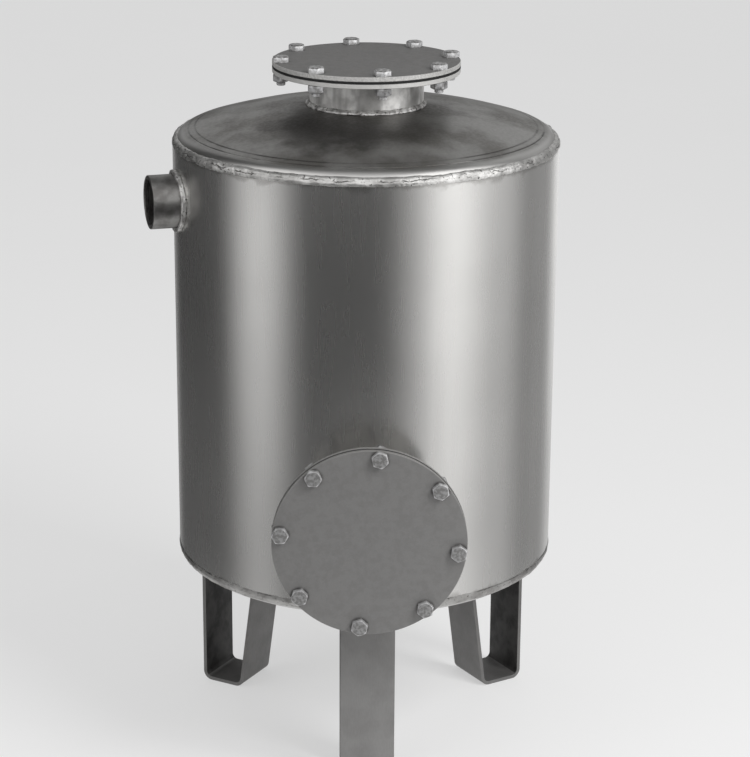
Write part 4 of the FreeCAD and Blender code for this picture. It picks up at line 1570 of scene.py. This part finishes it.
@dataclass
class HandHole:
    """A bolted hand hole: neck, ring, gasket and cover in their finishes, and its fasteners. Sizes in mm."""

    tank: Tank
    side: Side
    bolt_circle: float = 222.0
    bolt_count: int = 8
    stack: float = 15.0
    neck_radius: float = 74.0
    neck_bead_reach: float = 4.2
    front_reach: float = 310.0
    front_height: float = 365.0
    top_height: float = 908.0

    def outer_face(self) -> Matrix:
        """Works out where the cover's outer face is.

        Returns:
            The place of its middle, Z outwards.
        """
        if self.side is Side.TOP:
            return self.tank.upright(self.top_height)
        return self.tank.sideways(-90.0, self.front_reach, self.front_height)

    def bolt_places(self) -> list[Matrix]:
        """Works out where the bolts stand.

        Returns:
            Each bolt hole's place on the cover's outer face, X away from the middle and Z outwards.
        """
        step = 360 / self.bolt_count
        turns = (self.side.value.first_bolt + step * number for number in range(self.bolt_count))
        out = Matrix.Translation((self.bolt_circle / 2 * MM, 0, 0))
        return [self.outer_face() @ Matrix.Rotation(math.radians(turn), 4, "Z") @ out for turn in turns]

    def plate_finish(self, piece: str, clean: str, stained: str) -> Finish:
        """Makes the finish of this hand hole's cover or ring.

        Args:
            piece: which of its plates.
            clean: usual colour, as sRGB hex.
            stained: colour of its stains.

        Returns:
            Pickled plate that knows where its middle and its first bolt are.
        """
        style = self.side.value
        ways = self.bolt_places()[0].to_3x3().col
        return replace(
            PICKLED_PLATE, name=f"pickled_stainless_{style.word}_{piece}", clean=clean, stained=stained,
            centre=tuple(self.outer_face().translation), to_bolt=tuple(ways[0]), aside=tuple(ways[1]),
            rim=style.rim, bolt_circle=self.bolt_circle, bolt_count=self.bolt_count,
        )

    def bolt_finish(self, head_height: float) -> Finish:
        """Makes the finish of this hand hole's bolts.

        Args:
            head_height: of a bolt, in mm.

        Returns:
            Zinc plating with painted shade on the bolts' outer faces.
        """
        style = self.side.value
        clean, stained = style.plating
        face = self.outer_face() @ Matrix.Translation((0, 0, head_height * MM))
        return replace(
            PLATED_BOLT, name=f"zinc_plated_{style.word}_bolt", clean=clean, stained=stained,
            face=tuple(face.translation), outwards=tuple(face.to_3x3().col[2]), depth=style.dull_depth,
            dull=style.bolt_face,
        )

    def build(self, fasteners: Fasteners) -> None:
        """Dresses the hand hole and bolts it up.

        Args:
            fasteners: the bolt and nut to copy.
        """
        style = self.side.value
        word = style.word
        dress(f"{word}_cover", self.plate_finish("cover", *style.cover))
        dress(f"{word}_ring", self.plate_finish("ring", PICKLED_PLATE.clean, PICKLED_PLATE.stained))
        dress(f"{word}_gasket", SHEET_RUBBER)
        dress(f"{word}_neck", NECK_PIPE)
        room = {"room": self.outer_face(), "room_radius": self.neck_radius + self.neck_bead_reach}
        WeldBead(f"{word}_neck_weld", lump_size=7.0, lump_height=2.0, **room).build()
        WeldBead(f"{word}_ring_weld", lump_size=7.0, lump_height=1.0).build()
        bolts = self.bolt_finish(fasteners.head_height)
        fasteners.lay_out(style, bolts, self.bolt_places(), self.stack + fasteners.nut_height)


# Vessel, legs and inside


@dataclass
class Vessel:
    """Shell, heads, seams and sockets. Sizes are in mm."""

    tank: Tank
    neck_radius: float = 74.1
    outlet_radius: float = 34.6
    head_sink: float = 3.5
    inlet_azimuth: float = 195.0
    inlet_end: float = 287.5
    inlet_height: float = 738.0
    socket_length: float = 47.0
    socket_radius: float = 34.5
    socket_bead_reach: float = 5.4
    outlet_mouth: float = 163.854

    def head_finish(self, name: str, pipe_radius: float) -> Finish:
        """Makes a head's finish.

        Args:
            name: the finish's name.
            pipe_radius: of the pipe whose weld has tinted the head.

        Returns:
            Pressed stainless, darkened round the pipe, more so in front of it, and in a patch beside it.
        """
        round_pipe = (pipe_radius + 6.0, pipe_radius + 76.0)
        # Darker round the pipe and more in front of it: heat tint, and painted reflection and shade of the
        # pipe.
        tint = HeatZone(shift=(-5.0, -45.0), radii=round_pipe, amount=0.36)
        # A darker patch to the front left of the pipe.
        scorch = HeatZone(shift=(-60.0, -118.0), radii=(30.0, 85.0), amount=0.64)
        return replace(HEAD_PRESSING, name=name, axis=tuple(self.tank.axis), zones=(tint, scorch))

    def build(self) -> None:
        """Builds and dresses the vessel."""
        tank = self.tank
        dress("shell", SHELL_SHEET)
        over = tank.upright(tank.upper_seam - self.head_sink)
        under = tank.upside_down(tank.lower_seam + self.head_sink)
        for node, place, radius, name in (
            ("top_head", over, self.neck_radius, "pressed_stainless_head"),
            ("bottom_head", under, self.outlet_radius, "pressed_stainless_head_below"),
        ):
            DishedHead(node, place, radius).build(self.head_finish(name, radius))
        SeamBead(
            "top_seam_weld", lump_size=10.0, lump_height=1.6, run_size=30.0, run_height=1.6,
            place=tank.upright(tank.upper_seam),
        ).build()
        SeamBead(
            "bottom_seam_weld", lump_height=1.0, run_height=0.8, pit_height=0.4, toe=5.0,
            metal=LOWER_SEAM_METAL, place=tank.upside_down(tank.lower_seam),
        ).build()
        WeldBead("shell_seam_weld", lump_size=8.0, lump_height=0.8).build()
        inlet = tank.sideways(self.inlet_azimuth, self.inlet_end - self.socket_length, self.inlet_height)
        outlet = tank.upside_down(self.outlet_mouth + self.socket_length)
        bead_radius = self.socket_radius + self.socket_bead_reach
        for word, place in (("inlet", inlet), ("outlet", outlet)):
            PipeSocket(f"{word}_socket", place).build()
            WeldBead(f"{word}_weld", lump_height=1.8, room=place, room_radius=bead_radius).build()


@dataclass
class Legs:
    """Three legs of bent flat bar with rounded edges. Sizes are in mm, azimuths in degrees."""

    tank: Tank
    azimuths: dict[str, float] = field(default_factory=lambda: {"front": -90.0, "right": 30.0, "left": 150.0})
    edge_round: float = 1.0
    facing: float = 0.6

    def build(self) -> None:
        """Builds the legs and their beads."""
        for word, azimuth in self.azimuths.items():
            leg = merged_copy(f"leg_{word}", f"leg_{word}_bar")
            bevel(leg, self.edge_round, 3, 50.0)
            smooth(leg, 40.0)
            # The legs behind get the bar with painted shade.
            hand_over(leg, "vessel", FLAT_BAR if word == "front" else REAR_BAR, f"leg_{word}")
            self.leave_scale(leg, azimuth)
            WeldBead(f"leg_{word}_weld", lump_size=6.0, lump_height=1.0).build()

    def leave_scale(self, leg: Object, azimuth: float) -> None:
        """Paints the faces inside the bend darker: the mill scale that no grinder reaches, and painted shade
        between the limbs.

        Args:
            leg: the finished leg.
            azimuth: its direction from the tank's axis.
        """
        out = Vector((math.cos(math.radians(azimuth)), math.sin(math.radians(azimuth)), 0.0))
        reaches = [(corner.co - self.tank.axis).dot(out) for corner in leg.data.vertices]
        middle = (min(reaches) + max(reaches)) / 2
        leg.data.materials.append(SCALED_BAR.material())
        # Faces turned towards the other limb get the darker bar: mill scale and painted shade.
        for face in leg.data.polygons:
            inwards = middle - (face.center - self.tank.axis).dot(out)
            if face.normal.dot(out) * math.copysign(1.0, inwards) > self.facing:
                face.material_index = 1


@dataclass
class Underdrain:
    """Baffle, riser, hub and slotted tubes inside the vessel."""

    lateral_count: int = 8

    def build(self) -> None:
        """Dresses the parts inside."""
        laterals = [f"lateral_{number}" for number in range(1, self.lateral_count + 1)]
        for node in ("inlet_baffle", "collector_riser", "collector_hub", *laterals):
            dress(node, PLAIN_STAINLESS)
        dress("lateral_caps", MOULDED_PLUG)


def main() -> None:
    """Builds the studio and every sub-assembly in order."""
    logging.basicConfig(level=logging.INFO, format="%(name)s %(message)s")
    tank = Tank()
    Studio(tank).build()
    Vessel(tank).build()
    fasteners = Fasteners()
    fasteners.build()
    for side in Side:
        HandHole(tank, side).build(fasteners)
    fasteners.clear()
    Legs(tank).build()
    Underdrain().build()


if __name__ == "__main__":
    main()
